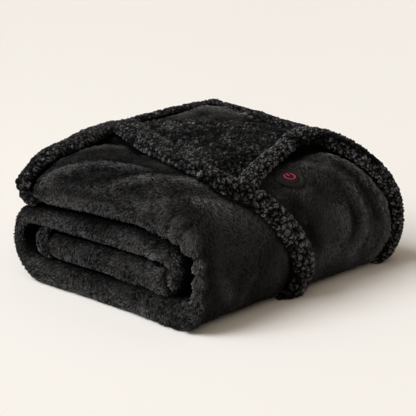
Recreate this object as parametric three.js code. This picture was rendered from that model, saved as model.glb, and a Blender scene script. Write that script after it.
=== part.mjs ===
// Wearable heated blanket, folded lengthwise and rolled into a thick soft loaf.
// Units are millimetres. +Z is up, the roll runs along Y, its layers show at the -Y end.
import * as THREE from "three";

// ---- driving sizes -------------------------------------------------------------------------
const LENGTH = 446; // the roll from end to end, at the floor
const CROWN = 198; // height of the plush top
const WALL_X = 188; // outer face of the big front bend
const BELLY_X = -179; // outer face of the open bend at the back

const LEGS = {
  core: { near: -86, far: 129, low: 41, high: 81 },
  second: { near: -137, far: 129, low: 84, high: 116 },
  bottom: { near: -126, far: 146, low: 0, high: 37 },
  top: { near: -59, far: 76, low: 119, high: CROWN },
};
const NOSE = { core: -112, top: -138, topHeight: 148 }; // where the folded ends turn back

// How far each end of a layer is rounded, along Y.
const ROUND = { thin: 13, topFace: 52, farFace: 26, nose: 0.36 };

// The far end leans in towards the top, and the near end stands a little lower. SQUARE is how
// far the top layer's back edge stands out.
const LEAN = { from: 50, rise: 155, reach: 118, power: 1.6, backShare: 0.33 };
const SQUARE = { reach: 22, rise: 6, from: 45, over: 120 };
const FOOT = 5; // the lowest layer is this much thicker
const STRETCH = { reach: 7, over: 130 }; // the near end is drawn out a little
const TOE = 4; // the lower front corner stands out by this much
const SETTLE = { share: 0.15, over: 240, farShare: -0.02 };

const BAND = { width: 34, thick: 14, gap: 1.3 };
const RIM = { thick: 22, farThick: 19, coreThick: 16, gap: 2.4 };
const LINING = { thick: 3, gap: 1.1 };
const BUTTON = { radius: 20, gap: 1.1 };
const SYMBOL = { radius: 6.2, line: 1.9, thick: 0.9, gap: 0.5, openDeg: 70, turnDeg: 12 };

// Paths on the outer skin: q is the way up from the floor over the front bend, y the way along
// the roll, w the width and t the thickness of the border there.
const RIGHT_BORDER = [
  { q: 30, y: 413, w: 27, t: 11 },
  { q: 56, y: 417, w: 28, t: 12 },
  { q: 97, y: 422, w: 28, t: 13 },
  { q: 143, y: 427, w: 28, t: 13 },
  { q: 182, y: 430, w: 28, t: 14 },
  { q: 222, y: 430, w: 28, t: 16 },
  { q: 250, y: 423, w: 27, t: 17 },
  { q: 261, y: 400, w: 24, t: 16 },
  { q: 255, y: 360, w: 22, t: 13 },
  { q: 242, y: 306, w: 22, t: 12 },
  { q: 230, y: 247, w: 23, t: 12 },
  { q: 218, y: 198, w: 24, t: 13 },
  { q: 208, y: 164, w: 26, t: 13 },
];
const LEFT_ARM = [
  { q: 452, y: 171, w: 40, t: 17 },
  { q: 407, y: 147, w: 41, t: 17 },
  { q: 365, y: 129, w: 41, t: 17 },
  { q: 324, y: 116, w: 41, t: 17 },
  { q: 278, y: 105, w: 40, t: 17 },
  { q: 241, y: 103, w: 39, t: 17 },
  { q: 216, y: 109, w: 38, t: 18 },
  { q: 202, y: 122, w: 37, t: 18 },
  { q: 191, y: 137, w: 36, t: 18 },
];
const STRIP = [
  { q: 180, y: 148, w: 36, t: 15 },
  { q: 162, y: 160, w: 38, t: 15 },
  { q: 146, y: 170, w: 38, t: 15 },
  { q: 124, y: 183, w: 38, t: 15 },
  { q: 99, y: 194, w: 38, t: 15 },
  { q: 75, y: 202, w: 38, t: 15 },
  { q: 53, y: 207, w: 38, t: 15 },
  { q: 30, y: 210, w: 38, t: 13 },
];
const BACK_BORDER = [
  { q: 271, y: 436, w: 14, t: 9 },
  { q: 340, y: 437, w: 14, t: 9 },
  { q: 410, y: 437, w: 14, t: 9 },
  { q: 468, y: 436, w: 14, t: 9 },
];
// Upper edge of the back rim, at places along the roll.
const RIM_EDGE = [
  { y: 1, q: 508 },
  { y: 7, q: 508 },
  { y: 16, q: 503 },
  { y: 30, q: 492 },
  { y: 46, q: 478 },
  { y: 64, q: 470 },
  { y: 95, q: 468 },
  { y: 130, q: 466 },
  { y: 155, q: 466 },
  { y: 185, q: 466 },
  { y: 215, q: 474 },
  { y: 255, q: 478 },
  { y: 300, q: 478 },
  { y: 345, q: 478 },
  { y: 385, q: 478 },
  { y: 415, q: 478 },
  { y: 432, q: 478 },
  { y: 441, q: 480 },
];
// The lining shows between the two arms (front) and the line where the plush covers it (back).
const LINING_EDGE = [
  { frontQ: 231, frontY: 150, backQ: 287, backY: 404 },
  { frontQ: 244, frontY: 134, backQ: 312, backY: 415 },
  { frontQ: 278, frontY: 134, backQ: 340, backY: 414 },
  { frontQ: 318, frontY: 145, backQ: 373, backY: 394 },
  { frontQ: 358, frontY: 157, backQ: 405, backY: 342 },
  { frontQ: 395, frontY: 174, backQ: 436, backY: 290 },
  { frontQ: 430, frontY: 192, backQ: 454, backY: 236 },
];
const BUTTON_AT = { q: 193, y: 246 };
const BUTTON_RINGS = [
  { r: 0, t: 1.7 },
  { r: 11, t: 1.7 },
  { r: 13.2, t: 0.9 },
  { r: 15.4, t: 2.6 },
  { r: 17.6, t: 2.4 },
  { r: 20, t: 0.7 },
];

const PLUSH = new THREE.MeshStandardMaterial({ color: 0x232325, roughness: 0.95, metalness: 0 });
const SHERPA = new THREE.MeshStandardMaterial({ color: 0x38383a, roughness: 1, metalness: 0 });
const SHERPA_IN = new THREE.MeshStandardMaterial({ color: 0x2f2f31, roughness: 1, metalness: 0 });
const RUBBER = new THREE.MeshStandardMaterial({ color: 0x1c1c1e, roughness: 0.7, metalness: 0 });
const GLOW = new THREE.MeshStandardMaterial({ color: 0xb8123c, roughness: 0.5, metalness: 0 });

// ---- small helpers -------------------------------------------------------------------------
const lerp = (a, b, t) => a + (b - a) * t;
const clamp = (v, a, b) => Math.min(b, Math.max(a, v));
const ease = (t) => {
  const k = clamp(t, 0, 1);
  return k * k * (3 - 2 * k);
};

function line(x0, z0, x1, z1, count) {
  const out = [];
  for (let i = 0; i < count; i++) {
    out.push([lerp(x0, x1, i / count), lerp(z0, z1, i / count)]);
  }
  return out;
}

// Part of a superellipse, its end left to the next piece.
function arc(cx, cz, rx, rz, from, to, count, power = 2) {
  const out = [];
  for (let i = 0; i < count; i++) {
    const a = THREE.MathUtils.degToRad(lerp(from, to, i / count));
    const c = Math.cos(a);
    const s = Math.sin(a);
    const x = cx + rx * Math.sign(c) * Math.abs(c) ** (2 / power);
    const z = cz + rz * Math.sign(s) * Math.abs(s) ** (2 / power);
    out.push([x, z]);
  }
  return out;
}

// ---- the folded section --------------------------------------------------------------------
const { core, second, bottom, top } = LEGS;
const hookMid = (core.low + core.high) / 2;
const turn = (second.high - core.low) / 2;
const turnMid = (second.high + core.low) / 2;

// The side of the cloth strip that faces out of the roll.
const outer = [
  ...arc(core.near, hookMid, core.near - NOSE.core, hookMid - core.low, 183, 270, 5),
  ...line(core.near, core.low, core.far, core.low, 6),
  ...arc(core.far, turnMid, turn, turn, -90, 90, 8),
  ...line(core.far, second.high, second.near, second.high, 8),
  ...arc(second.near, 57, second.near - BELLY_X, second.high - 57, 90, 180, 5),
  ...arc(bottom.near, 57, bottom.near - BELLY_X, 57, 180, 270, 5),
  ...line(bottom.near, 0, bottom.far, 0, 7),
  ...arc(bottom.far, 62, WALL_X - bottom.far, 62, -90, 0, 6, 2.7),
  ...line(WALL_X, 62, WALL_X, 95, 2),
  ...arc(top.far, 95, WALL_X - top.far, CROWN - 95, 0, 90, 10, 2.2),
  ...line(top.far, CROWN, top.near, CROWN, 6),
  ...arc(top.near, 148, top.near - NOSE.top, CROWN - 148, 90, 177, 8, 2.2),
];
outer.push([NOSE.top, NOSE.topHeight + 1]);

// The side that faces into the roll, with as many points.
const inner = [
  ...arc(core.near, hookMid, core.near - NOSE.core, core.high - hookMid, 177, 90, 5),
  ...line(core.near, core.high, core.far - 2, core.high, 6),
  ...arc(core.far - 2, 82.5, 1.5, 1.5, -90, 90, 8),
  ...line(core.far - 2, second.low, -132, second.low, 8),
  ...arc(-132, 61, 29, second.low - 61, 90, 180, 5),
  ...arc(-132, 61, 29, 61 - bottom.high, 180, 270, 5),
  ...line(-132, bottom.high, 140, bottom.high, 7),
  ...arc(140, 62, 32, 62 - bottom.high, -90, 0, 6, 2.3),
  ...line(172, 62, 172, 88, 2),
  ...arc(130, 88, 42, top.low - 88, 0, 90, 10, 2.2),
  ...line(130, top.low, top.near, top.low, 6),
  ...line(top.near, top.low, -112, top.low, 4),
  ...arc(-112, NOSE.topHeight, -112 - NOSE.top, NOSE.topHeight - top.low, 270, 183, 4),
];
inner.push([NOSE.top, NOSE.topHeight - 1]);

const PAIRS = outer.length;
const TOP_FROM = 4 + 7 + 8 + 8 + 5 + 5 + 7 + 6 + 2; // first pair of the top layer's shoulder
const WALL_FROM = TOP_FROM - 8; // first pair of the big bend, at the floor

// How each pair is rounded at the ends: out, in, and where its nose stands.
function rounding(i) {
  const t = ease((i - TOP_FROM) / 9);
  const hook = Math.max(0, (5 - i) / 5);
  const lip = Math.max(0, (i - (PAIRS - 7)) / 6);
  return {
    out: lerp(ROUND.thin, ROUND.topFace, t),
    farOut: lerp(ROUND.thin, ROUND.farFace, t),
    in: ROUND.thin,
    nose: lerp(0.5, ROUND.nose, t),
    tuck: ROUND.thin * Math.max(hook, lip),
  };
}

// One row of the strip: [x, z, noseX, noseZ, near, far], all as numbers to be blended.
function rowOf(i, side) {
  const r = rounding(i);
  const p = side === "out" ? outer[i] : inner[i];
  return [
    p[0], p[1],
    lerp(inner[i][0], outer[i][0], r.nose) + r.tuck,
    lerp(inner[i][1], outer[i][1], r.nose),
    side === "out" ? r.out : r.in,
    side === "out" ? r.farOut : r.in,
  ];
}

// The stations along the roll: close together at the rounded ends and near the front.
const END_STEPS = [0.13, 0.42, 0.7, 1];
const MIDDLE = [0.07, 0.15, 0.235, 0.33, 0.44, 0.56, 0.69, 0.83];
const STATIONS = 2 * END_STEPS.length + MIDDLE.length;

function station(row, k) {
  const [x, z, nx, nz, near, far] = row;
  let y = 0;
  let share = 1;
  if (k < END_STEPS.length) {
    const a = (END_STEPS[k] * Math.PI) / 2;
    y = near * (1 - Math.cos(a));
    share = Math.sin(a);
  } else if (k >= STATIONS - END_STEPS.length) {
    const a = (END_STEPS[STATIONS - 1 - k] * Math.PI) / 2;
    y = LENGTH - far * (1 - Math.cos(a));
    share = Math.sin(a);
  } else {
    y = lerp(near, LENGTH - far, MIDDLE[k - END_STEPS.length]);
  }
  return { y, x: lerp(nx, x, share), z: lerp(nz, z, share) };
}

// ---- the soft form that the whole roll takes ------------------------------------------------
function settle([x, y, z]) {
  const side = lerp(LEAN.backShare, 1, clamp((x + 165) / 260, 0, 1));
  const high = Math.max(0, (z - LEAN.from) / LEAN.rise);
  const reach = LENGTH - side * LEAN.reach * high ** LEAN.power;
  const yy = (y * reach) / LENGTH;
  const near = Math.max(0, 1 - yy / SETTLE.over);
  const far = Math.max(0, (yy - 300) / 150);
  const drop = SETTLE.share * near * near + SETTLE.farShare * far;
  const body = ease((z - 60) / 60);
  const zz = z - drop * Math.max(0, z - 119) + body * 1.6 * Math.sin(x / 47 + yy / 90);
  const bulge = 2 * Math.sin((Math.PI * clamp(z, 0, 190)) / 190) * ease(yy / 120);
  const back = ease((-x - 40) / 80) * ease((z - 117) / 14) * ease((yy - SQUARE.from) / SQUARE.over);
  const out = (x > 0 ? 1 : -0.5) * bulge * clamp(Math.abs(x) / 170, 0, 1);
  const xx = x + out - SQUARE.reach * back;
  const lift = SQUARE.rise * back * ease((z - 140) / 45);
  const toe = Math.exp(-(((x - 175) / 60) ** 2) - (z / 55) ** 2) * Math.max(0, 1 - yy / 110);
  const foot = FOOT * ease(z / 32);
  const drawn = STRETCH.reach * Math.max(0, 1 - yy / STRETCH.over);
  return [xx, yy - TOE * toe - drawn, zz + lift + foot];
}

// ---- the outer skin as a chart: arc length q up from the floor, and y ------------------------
// The skin ends under the top layer's back edge.
function chart(from, to, side) {
  const rows = [];
  for (let i = from; from < to ? i < to : i > to; i += from < to ? 1 : -1) {
    rows.push(rowOf(i, side));
  }
  return rows;
}

function lengths(rows) {
  const at = [0];
  for (let i = 1; i < rows.length; i++) {
    at.push(at[i - 1] + Math.hypot(rows[i][0] - rows[i - 1][0], rows[i][1] - rows[i - 1][1]));
  }
  return at;
}

// A chart that reads a surface point from its arc length and its place along the roll. It is
// straight between stations, as the roll itself is.
function surface(rows) {
  const at = lengths(rows);
  const end = at[at.length - 1];
  const point = (q, y) => {
    const qq = clamp(q, 0, end - 0.001);
    let i = 0;
    while (i < at.length - 2 && at[i + 1] <= qq) i++;
    const row = smooth(rows, i, (qq - at[i]) / (at[i + 1] - at[i]));
    let k = 0;
    while (k < STATIONS - 2 && station(row, k + 1).y <= y) k++;
    const a = station(row, k);
    const b = station(row, k + 1);
    const t = clamp((y - a.y) / (b.y - a.y), 0, 1);
    const pa = new THREE.Vector3(...settle([a.x, a.y, a.z]));
    return pa.lerp(new THREE.Vector3(...settle([b.x, b.y, b.z])), t);
  };
  const normal = (q, y) => {
    const e = 3;
    const yy = clamp(y, 5, LENGTH - 5);
    const qq = clamp(q, e, end - e);
    const a = point(qq + e, yy).sub(point(qq - e, yy));
    const b = point(qq, yy + e).sub(point(qq, yy - e));
    return b.cross(a).normalize();
  };
  // flat: 0 keeps the true normal, 1 turns it into the plane of the section.
  const on = (q, y, lift, flat = 0) => {
    const n = normal(q, y);
    n.y *= 1 - flat;
    const p = point(q, y).addScaledVector(n.normalize(), lift);
    p.z = Math.max(p.z, 0.4);
    return p;
  };
  return { point, normal, on, end };
}

const SKIN = surface([
  ...chart(WALL_FROM, PAIRS, "out"),
  ...chart(PAIRS - 1, PAIRS - 7, "in"),
]);
const HOOK = surface([...chart(7, -1, "in"), ...chart(0, 8, "out")]);
const onSkin = SKIN.on;

// Catmull-Rom between rows i and i + 1 of a list of rows of numbers.
function smooth(list, i, t) {
  const a = list[Math.max(0, i - 1)];
  const b = list[i];
  const c = list[i + 1];
  const d = list[Math.min(list.length - 1, i + 2)];
  const t2 = t * t;
  const t3 = t2 * t;
  return b.map((_, k) => {
    const m0 = (c[k] - a[k]) / 2;
    const m1 = (d[k] - b[k]) / 2;
    return b[k] * (2 * t3 - 3 * t2 + 1) + m0 * (t3 - 2 * t2 + t) +
      c[k] * (3 * t2 - 2 * t3) + m1 * (t3 - t2);
  });
}

// ---- solids --------------------------------------------------------------------------------
// A closed body from rows of points: each row is a ring, and both end rings are capped.
function loft(name, rings, material, cap) {
  const n = rings[0].length;
  const position = [];
  const index = [];
  for (const ring of rings) {
    for (const p of ring) position.push(...(p.isVector3 ? p.toArray() : p));
  }
  for (let k = 0; k + 1 < rings.length; k++) {
    for (let i = 0; i < n; i++) {
      const a = k * n + i;
      const b = k * n + ((i + 1) % n);
      index.push(a, b, a + n, b, b + n, a + n);
    }
  }
  const last = (rings.length - 1) * n;
  for (const [a, b, c] of cap(n)) {
    index.push(a, c, b);
    index.push(last + a, last + b, last + c);
  }
  return solid(name, position, index, material);
}

function solid(name, position, index, material) {
  const g = new THREE.BufferGeometry();
  g.setAttribute("position", new THREE.Float32BufferAttribute(position, 3));
  g.setIndex(index);
  const mesh = new THREE.Mesh(g, material);
  mesh.name = name;
  if (volume(position, index) < 0) {
    for (let i = 0; i < index.length; i += 3) {
      [index[i + 1], index[i + 2]] = [index[i + 2], index[i + 1]];
    }
    g.setIndex(index);
  }
  g.computeVertexNormals();
  return mesh;
}

function volume(p, index) {
  let v = 0;
  const at = (i) => new THREE.Vector3(p[3 * i], p[3 * i + 1], p[3 * i + 2]);
  for (let i = 0; i < index.length; i += 3) {
    const a = at(index[i]);
    v += a.dot(at(index[i + 1]).cross(at(index[i + 2])));
  }
  return v / 6;
}

// Caps a ring made of two matching sides, the second one running back.
function ladder(n) {
  const tris = [];
  for (let i = 0; i < n / 2 - 1; i++) {
    tris.push([i, i + 1, n - 1 - i], [i + 1, n - 2 - i, n - 1 - i]);
  }
  return tris;
}

function rollRing(k) {
  const points = [];
  const place = (i, side) => {
    const p = station(rowOf(i, side), k);
    const frill = side === "in" ? scallop(i, p.y) : 0;
    return settle([p.x + frill, p.y, p.z]);
  };
  for (let i = 0; i < PAIRS; i++) points.push(place(i, "out"));
  for (let i = PAIRS - 1; i >= 0; i--) points.push(place(i, "in"));
  return points;
}

// The gathered inner edge of the big bend, fading along the roll.
function scallop(i, y) {
  const from = WALL_FROM + 3;
  if (i < from || i > from + 9) return 0;
  const fade = Math.exp(-y / 30);
  return 3.2 * fade * Math.cos(Math.PI * (i - from));
}

function roll() {
  const rings = [];
  for (let k = 0; k < STATIONS; k++) rings.push(rollRing(k));
  return loft("plush_roll", rings, PLUSH, ladder);
}

// A raised band on the skin. Its path is a list of { q, y, w } places, drawn smooth.
const CROSS = [-1, -0.86, -0.5, 0, 0.5, 0.86, 1];

function spline(path, steps) {
  const curve = new THREE.CatmullRomCurve3(
    path.map((p) => new THREE.Vector3(p.q, p.y, 0)), false, "centripetal");
  const size = new THREE.CatmullRomCurve3(
    path.map((p) => new THREE.Vector3(p.w ?? BAND.width, p.t ?? BAND.thick, p.lift ?? 0)));
  const out = [];
  for (let k = 0; k <= steps; k++) {
    const t = k / steps;
    const at = curve.getPoint(t);
    const way = curve.getTangent(t);
    const s = size.getPoint(t);
    out.push({ q: at.x, y: at.y, dq: way.x, dy: way.y, w: s.x, t: s.y, lift: s.z });
  }
  return out;
}

function band(name, path, steps, material) {
  const rings = spline(path, steps).map((p, k) => {
    const over = [];
    const under = [];
    const end = k === 0 || k === steps ? 0.72 : 1;
    for (const c of CROSS) {
      const q = p.q - (p.dy * c * p.w) / 2;
      const y = p.y + (p.dq * c * p.w) / 2;
      const full = Math.max(0.16, (1 - Math.abs(c) ** 2.6) ** 0.55) * end;
      over.push(onSkin(q, y, BAND.gap + p.lift + p.t * full));
      under.push(onSkin(q, y, BAND.gap + p.lift));
    }
    return [...over, ...under.reverse()];
  });
  return loft(name, rings, material, ladder);
}

// A rim that wraps a folded end: a crescent in section, from its upper to its lower edge.
const CRESCENT = [-1, -0.84, -0.64, -0.42, -0.2, 0.02, 0.24, 0.46, 0.68, 0.86, 1];

function rim(name, skin, rows, thickness, material) {
  const rings = rows.map((row, k) => {
    const over = [];
    const under = [];
    const end = k === 0 || k === rows.length - 1 ? 0.75 : 1;
    for (const c of CRESCENT) {
      const q = lerp(row.from, row.to, (c + 1) / 2);
      const flat = 1 - ease((row.y - 10) / 50);
      over.push(skin.on(q, row.y, RIM.gap + thickness(c, row.y) * end, flat));
      under.push(skin.on(q, row.y, RIM.gap, flat));
    }
    return [...over, ...under.reverse()];
  });
  return loft(name, rings, material, ladder);
}

function backRim() {
  const low = SKIN.end - 37;
  const rows = RIM_EDGE.map((r) => ({ y: r.y, from: r.q, to: low }));
  const thickness = (c, y) => {
    const edge = c < 0 ? (1 - Math.abs(c) ** 3) ** 0.5 : (1 - c ** 1.7) ** 0.8;
    return Math.max(2.4, lerp(RIM.thick, RIM.farThick, ease(y / 90)) * edge);
  };
  return rim("back_rim", SKIN, rows, thickness, SHERPA);
}

function coreRim() {
  const mid = HOOK.end / 2;
  const places = [1, 5, 12, 40, 100, 170, 240, 310, 380, 420, 436, 444];
  const rows = places.map((y) => ({ y, from: mid - 25, to: mid + 25 }));
  const thickness = (c) => Math.max(1.6, RIM.coreThick * (1 - c * c) ** 1.6);
  return rim("core_rim", HOOK, rows, thickness, SHERPA);
}

// The lining: a thin sheet laid on the top, from the front edge to the back edge.
function lining() {
  const steps = 12;
  const curve = (q, y) => new THREE.CatmullRomCurve3(
    LINING_EDGE.map((r) => new THREE.Vector3(r[q], r[y], 0)), false, "centripetal");
  const front = curve("frontQ", "frontY");
  const back = curve("backQ", "backY");
  const rings = [];
  for (let k = 0; k <= steps; k++) {
    const a = front.getPoint(k / steps);
    const b = back.getPoint(k / steps);
    const over = [];
    const under = [];
    for (let i = 0; i <= 9; i++) {
      const p = a.clone().lerp(b, i / 9);
      over.push(onSkin(p.x, p.y, LINING.gap + LINING.thick));
      under.push(onSkin(p.x, p.y, LINING.gap));
    }
    rings.push([...over, ...under.reverse()]);
  }
  return loft("lining", rings, SHERPA_IN, ladder);
}

// The control button: a round soft patch with a raised ring, laid on the skin.
function button() {
  const count = 24;
  const position = [];
  const index = [];
  const put = (r, a, lift) => {
    const q = BUTTON_AT.q + r * Math.sin(a);
    const y = BUTTON_AT.y + (r * Math.cos(a) * LENGTH) / BUTTON_STRETCH;
    position.push(...onSkin(q, y, BUTTON.gap + lift).toArray());
  };
  put(0, 0, BUTTON_RINGS[0].t);
  for (const ring of BUTTON_RINGS.slice(1)) {
    for (let i = 0; i < count; i++) put(ring.r, (2 * Math.PI * i) / count, ring.t);
  }
  for (const r of [BUTTON.radius, 10]) {
    for (let i = 0; i < count; i++) put(r, (2 * Math.PI * i) / count, 0);
  }
  put(0, 0, 0);
  const rings = BUTTON_RINGS.length + 1;
  for (let i = 0; i < count; i++) {
    const j = (i + 1) % count;
    index.push(0, 1 + i, 1 + j);
    for (let k = 0; k + 1 < rings; k++) {
      const a = 1 + k * count;
      const b = a + count;
      index.push(a + i, b + i, a + j, a + j, b + i, b + j);
    }
    const z = 1 + (rings - 1) * count;
    index.push(z + i, z + count, z + j);
  }
  return solid("button_patch", position, index, RUBBER);
}

// The lit mark on the button: an open ring and a short bar, as two thin pieces.
function mark(name, places) {
  const half = SYMBOL.line / 2;
  const rings = places.map((p) => {
    const ring = [];
    for (const [side, up] of [[-1, 1], [1, 1], [1, 0], [-1, 0]]) {
      const q = BUTTON_AT.q + p.u + side * half * p.nu;
      const y = BUTTON_AT.y + ((p.v + side * half * p.nv) * LENGTH) / BUTTON_STRETCH;
      const base = BUTTON.gap + BUTTON_RINGS[0].t + SYMBOL.gap;
      ring.push(onSkin(q, y, base + up * SYMBOL.thick));
    }
    return ring;
  });
  return loft(name, rings, GLOW, ladder);
}

function markRing() {
  const places = [];
  const open = SYMBOL.openDeg / 2;
  for (let k = 0; k <= 18; k++) {
    const deg = SYMBOL.turnDeg + lerp(open, 360 - open, k / 18);
    const a = THREE.MathUtils.degToRad(deg);
    const u = Math.cos(a);
    const v = Math.sin(a);
    places.push({ u: SYMBOL.radius * u, v: SYMBOL.radius * v, nu: u, nv: v });
  }
  return mark("mark_ring", places);
}

function markBar() {
  const a = THREE.MathUtils.degToRad(SYMBOL.turnDeg);
  const places = [0.1, 0.6, 1.15].map((k) => ({
    u: k * SYMBOL.radius * Math.cos(a),
    v: k * SYMBOL.radius * Math.sin(a),
    nu: -Math.sin(a),
    nv: Math.cos(a),
  }));
  return mark("mark_bar", places);
}

// Real length along the roll at the button, for each length of the chart.
const BUTTON_STRETCH = stretchAt(BUTTON_AT.q, BUTTON_AT.y);

function stretchAt(q, y) {
  const d = SKIN.point(q, y + 5).distanceTo(SKIN.point(q, y - 5)) / 10;
  return d * LENGTH;
}

// ---- the part ------------------------------------------------------------------------------
const pieces = [
  roll(),
  band("right_border", RIGHT_BORDER, 36, SHERPA),
  band("left_arm", LEFT_ARM, 18, SHERPA),
  band("front_strip", STRIP, 13, SHERPA),
  band("back_border", BACK_BORDER, 9, SHERPA),
  backRim(),
  coreRim(),
  lining(),
  button(),
  markRing(),
  markBar(),
];

// The origin is the middle of the underside of the whole part.
const bounds = new THREE.Box3();
for (const piece of pieces) bounds.expandByObject(piece);
const middle = bounds.getCenter(new THREE.Vector3());
const group = new THREE.Group();
for (const piece of pieces) {
  piece.geometry.translate(-middle.x, -middle.y, -bounds.min.z);
  group.add(piece);
}
export default group;
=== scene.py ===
"""A wearable heated blanket, folded and rolled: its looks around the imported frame."""

import logging
import math
from dataclasses import dataclass, field, replace
from enum import Enum
from typing import Callable, Sequence

import bpy
import numpy as np
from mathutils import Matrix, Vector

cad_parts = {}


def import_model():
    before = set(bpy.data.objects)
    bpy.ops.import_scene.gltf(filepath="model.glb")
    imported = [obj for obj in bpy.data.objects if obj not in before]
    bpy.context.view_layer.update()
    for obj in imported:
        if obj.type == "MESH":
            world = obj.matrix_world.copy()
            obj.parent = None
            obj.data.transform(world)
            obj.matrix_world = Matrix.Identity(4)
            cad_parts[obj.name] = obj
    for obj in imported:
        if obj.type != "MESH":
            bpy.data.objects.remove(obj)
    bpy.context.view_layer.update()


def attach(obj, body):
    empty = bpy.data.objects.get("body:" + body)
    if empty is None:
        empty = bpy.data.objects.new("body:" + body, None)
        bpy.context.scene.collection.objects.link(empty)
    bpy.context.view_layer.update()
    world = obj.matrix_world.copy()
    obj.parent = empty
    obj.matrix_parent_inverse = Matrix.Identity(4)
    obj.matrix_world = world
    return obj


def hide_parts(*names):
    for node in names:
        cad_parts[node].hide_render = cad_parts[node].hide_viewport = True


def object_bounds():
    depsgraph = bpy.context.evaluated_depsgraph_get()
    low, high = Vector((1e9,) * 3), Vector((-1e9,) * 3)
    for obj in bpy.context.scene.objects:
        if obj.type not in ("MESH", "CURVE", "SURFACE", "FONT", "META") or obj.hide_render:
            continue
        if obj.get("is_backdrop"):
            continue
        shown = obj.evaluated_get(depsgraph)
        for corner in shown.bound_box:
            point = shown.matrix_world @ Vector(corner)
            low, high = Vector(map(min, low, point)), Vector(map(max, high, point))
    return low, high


LOG = logging.getLogger("blanket")
Array = np.ndarray
Piece = bpy.types.Object
Material = bpy.types.Material
Pair = tuple[float, float]
Place = tuple[float, float, float]
Colour = tuple[float, float, float]

MM = 0.001
MIDDLE = np.array([13.262, 221.409, 0.0])  # the part's middle, in the roll's own millimetres
BODY = "root"
MAP_NAME = "OFBake"
SHADE = "shade"
FLOOR_GAP = 0.35  # the cloth rests this far above the floor, in millimetres


# ---- numbers ----
def table(*rows: tuple[float, ...]) -> Array:
    """Returns the rows of a table as numbers."""
    return np.array(rows, float)


def lerp(a: Array, b: Array, t: Array) -> Array:
    """Returns the value between a and b at share t."""
    return a + (b - a) * t


def ease(t: Array) -> Array:
    """Returns a soft step from 0 to 1 as t goes from 0 to 1."""
    k = np.clip(t, 0.0, 1.0)
    return k * k * (3.0 - 2.0 * k)


def hump(x: Array, width: float) -> Array:
    """Returns a smooth hump, 1 where x is 0 and almost gone two widths away."""
    return np.exp(-((x / width) ** 2))


def rounded(share: Array) -> Array:
    """Returns the height of a quarter circle, 1 where the share is 0 and 0 where it is 1."""
    return np.sqrt(1 - np.clip(share, 0, 1) ** 2)


def between(x: Array, first: float, last: float, over: float) -> Array:
    """Returns a soft window, 0 outside first and last and 1 from so far inside them."""
    return ease((x - first) / over) * ease((last - x) / over)


def unit(v: Array) -> Array:
    """Returns the vectors at length one."""
    return v / np.maximum(np.linalg.norm(v, axis=-1, keepdims=True), 1e-9)


def scatter(cell: Array, salt: int) -> Array:
    """Gives each whole-number cell a random number.

    Args:
        cell: Whole numbers, three to a row.
        salt: Which set of numbers to draw from.

    Returns:
        A number from 0 to 1 for each row.
    """
    c = cell.astype(np.int64)
    h = c[..., 0] * 73856093 ^ c[..., 1] * 19349663 ^ c[..., 2] * 83492791
    h = (h ^ (salt * 40503 + 977)) & 0xFFFFFFFF
    h = ((h ^ (h >> 13)) * 1274126177) & 0xFFFFFFFF
    h = ((h ^ (h >> 16)) * 668265263) & 0xFFFFFFFF
    h = h ^ (h >> 15)
    return (h & 0xFFFFFF) / float(0x1000000)


def swell(p: Array, size: float, salt: int = 0) -> Array:
    """Smooth noise.

    Args:
        p: Points in millimetres.
        size: Width of one swell in millimetres.
        salt: Which noise to draw from.

    Returns:
        Numbers from -1 to 1.
    """
    q = p / size
    base = np.floor(q)
    f = q - base
    f = f * f * (3.0 - 2.0 * f)
    total = np.zeros(q.shape[:-1])
    for corner in np.ndindex(2, 2, 2):
        weight = np.prod(np.where(corner, f, 1.0 - f), axis=-1)
        total += weight * scatter(base + corner, salt)
    return 2.0 * total - 1.0


def clumps(p: Array, size: float, salt: int = 0) -> tuple[Array, Array, Array]:
    """Finds the clump that each point belongs to.

    Args:
        p: Points in millimetres.
        size: Usual distance between clumps in millimetres.
        salt: Which clumps to draw from.

    Returns:
        How far the nearest and the second clump are, in clump widths, and the nearest
        one's own number.
    """
    q = p / size
    base = np.floor(q)
    first = np.full(q.shape[:-1], 9.0)
    second = first.copy()
    own = np.zeros(q.shape[:-1])
    for step in np.ndindex(3, 3, 3):
        cell = base + step - 1.0
        place = np.stack([scatter(cell, salt + k) for k in (1, 2, 3)], axis=-1)
        far = np.linalg.norm(cell + 0.1 + 0.8 * place - q, axis=-1)
        nearer = far < first
        second = np.where(nearer, first, np.minimum(second, far))
        own = np.where(nearer, place[..., 0] * 0.5 + place[..., 1] * 0.5, own)
        first = np.minimum(first, far)
    return first, second, own


def lengths(p: Array) -> Array:
    """Returns how far along a line of points each one lies."""
    return np.concatenate([[0.0], np.cumsum(np.linalg.norm(np.diff(p, axis=0), axis=1))])


def hermite(b: Array, c: Array, mb: Array, mc: Array, t: Array) -> Array:
    """Returns the cubic from b to c with the slopes mb and mc, at share t."""
    t2, t3 = t * t, t * t * t
    rise = b * (2 * t3 - 3 * t2 + 1) + c * (3 * t2 - 2 * t3)
    return rise + mb * (t3 - 2 * t2 + t) + mc * (t3 - t2)


def smooth_rows(rows: Array, at: Array, q: Array) -> Array:
    """Reads rows of numbers at places between them, on a smooth curve.

    Args:
        rows: The rows, one to a line.
        at: How far along each row lies.
        q: The places asked for.

    Returns:
        One row for each place.
    """
    q = np.clip(q, 0.0, at[-1] - 1e-6)
    i = np.clip(np.searchsorted(at, q, side="right") - 1, 0, len(at) - 2)
    t = ((q - at[i]) / np.maximum(at[i + 1] - at[i], 1e-9))[..., None]
    a, b = rows[np.maximum(i - 1, 0)], rows[i]
    c, d = rows[i + 1], rows[np.minimum(i + 2, len(rows) - 1)]
    return hermite(b, c, (c - a) / 2, (d - b) / 2, t)


def read(rows: Array, at: Array, places: Array) -> Array:
    """Returns rows of numbers at places between them, on straight lines."""
    return np.stack([np.interp(places, at, col) for col in rows.T], axis=1)


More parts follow.
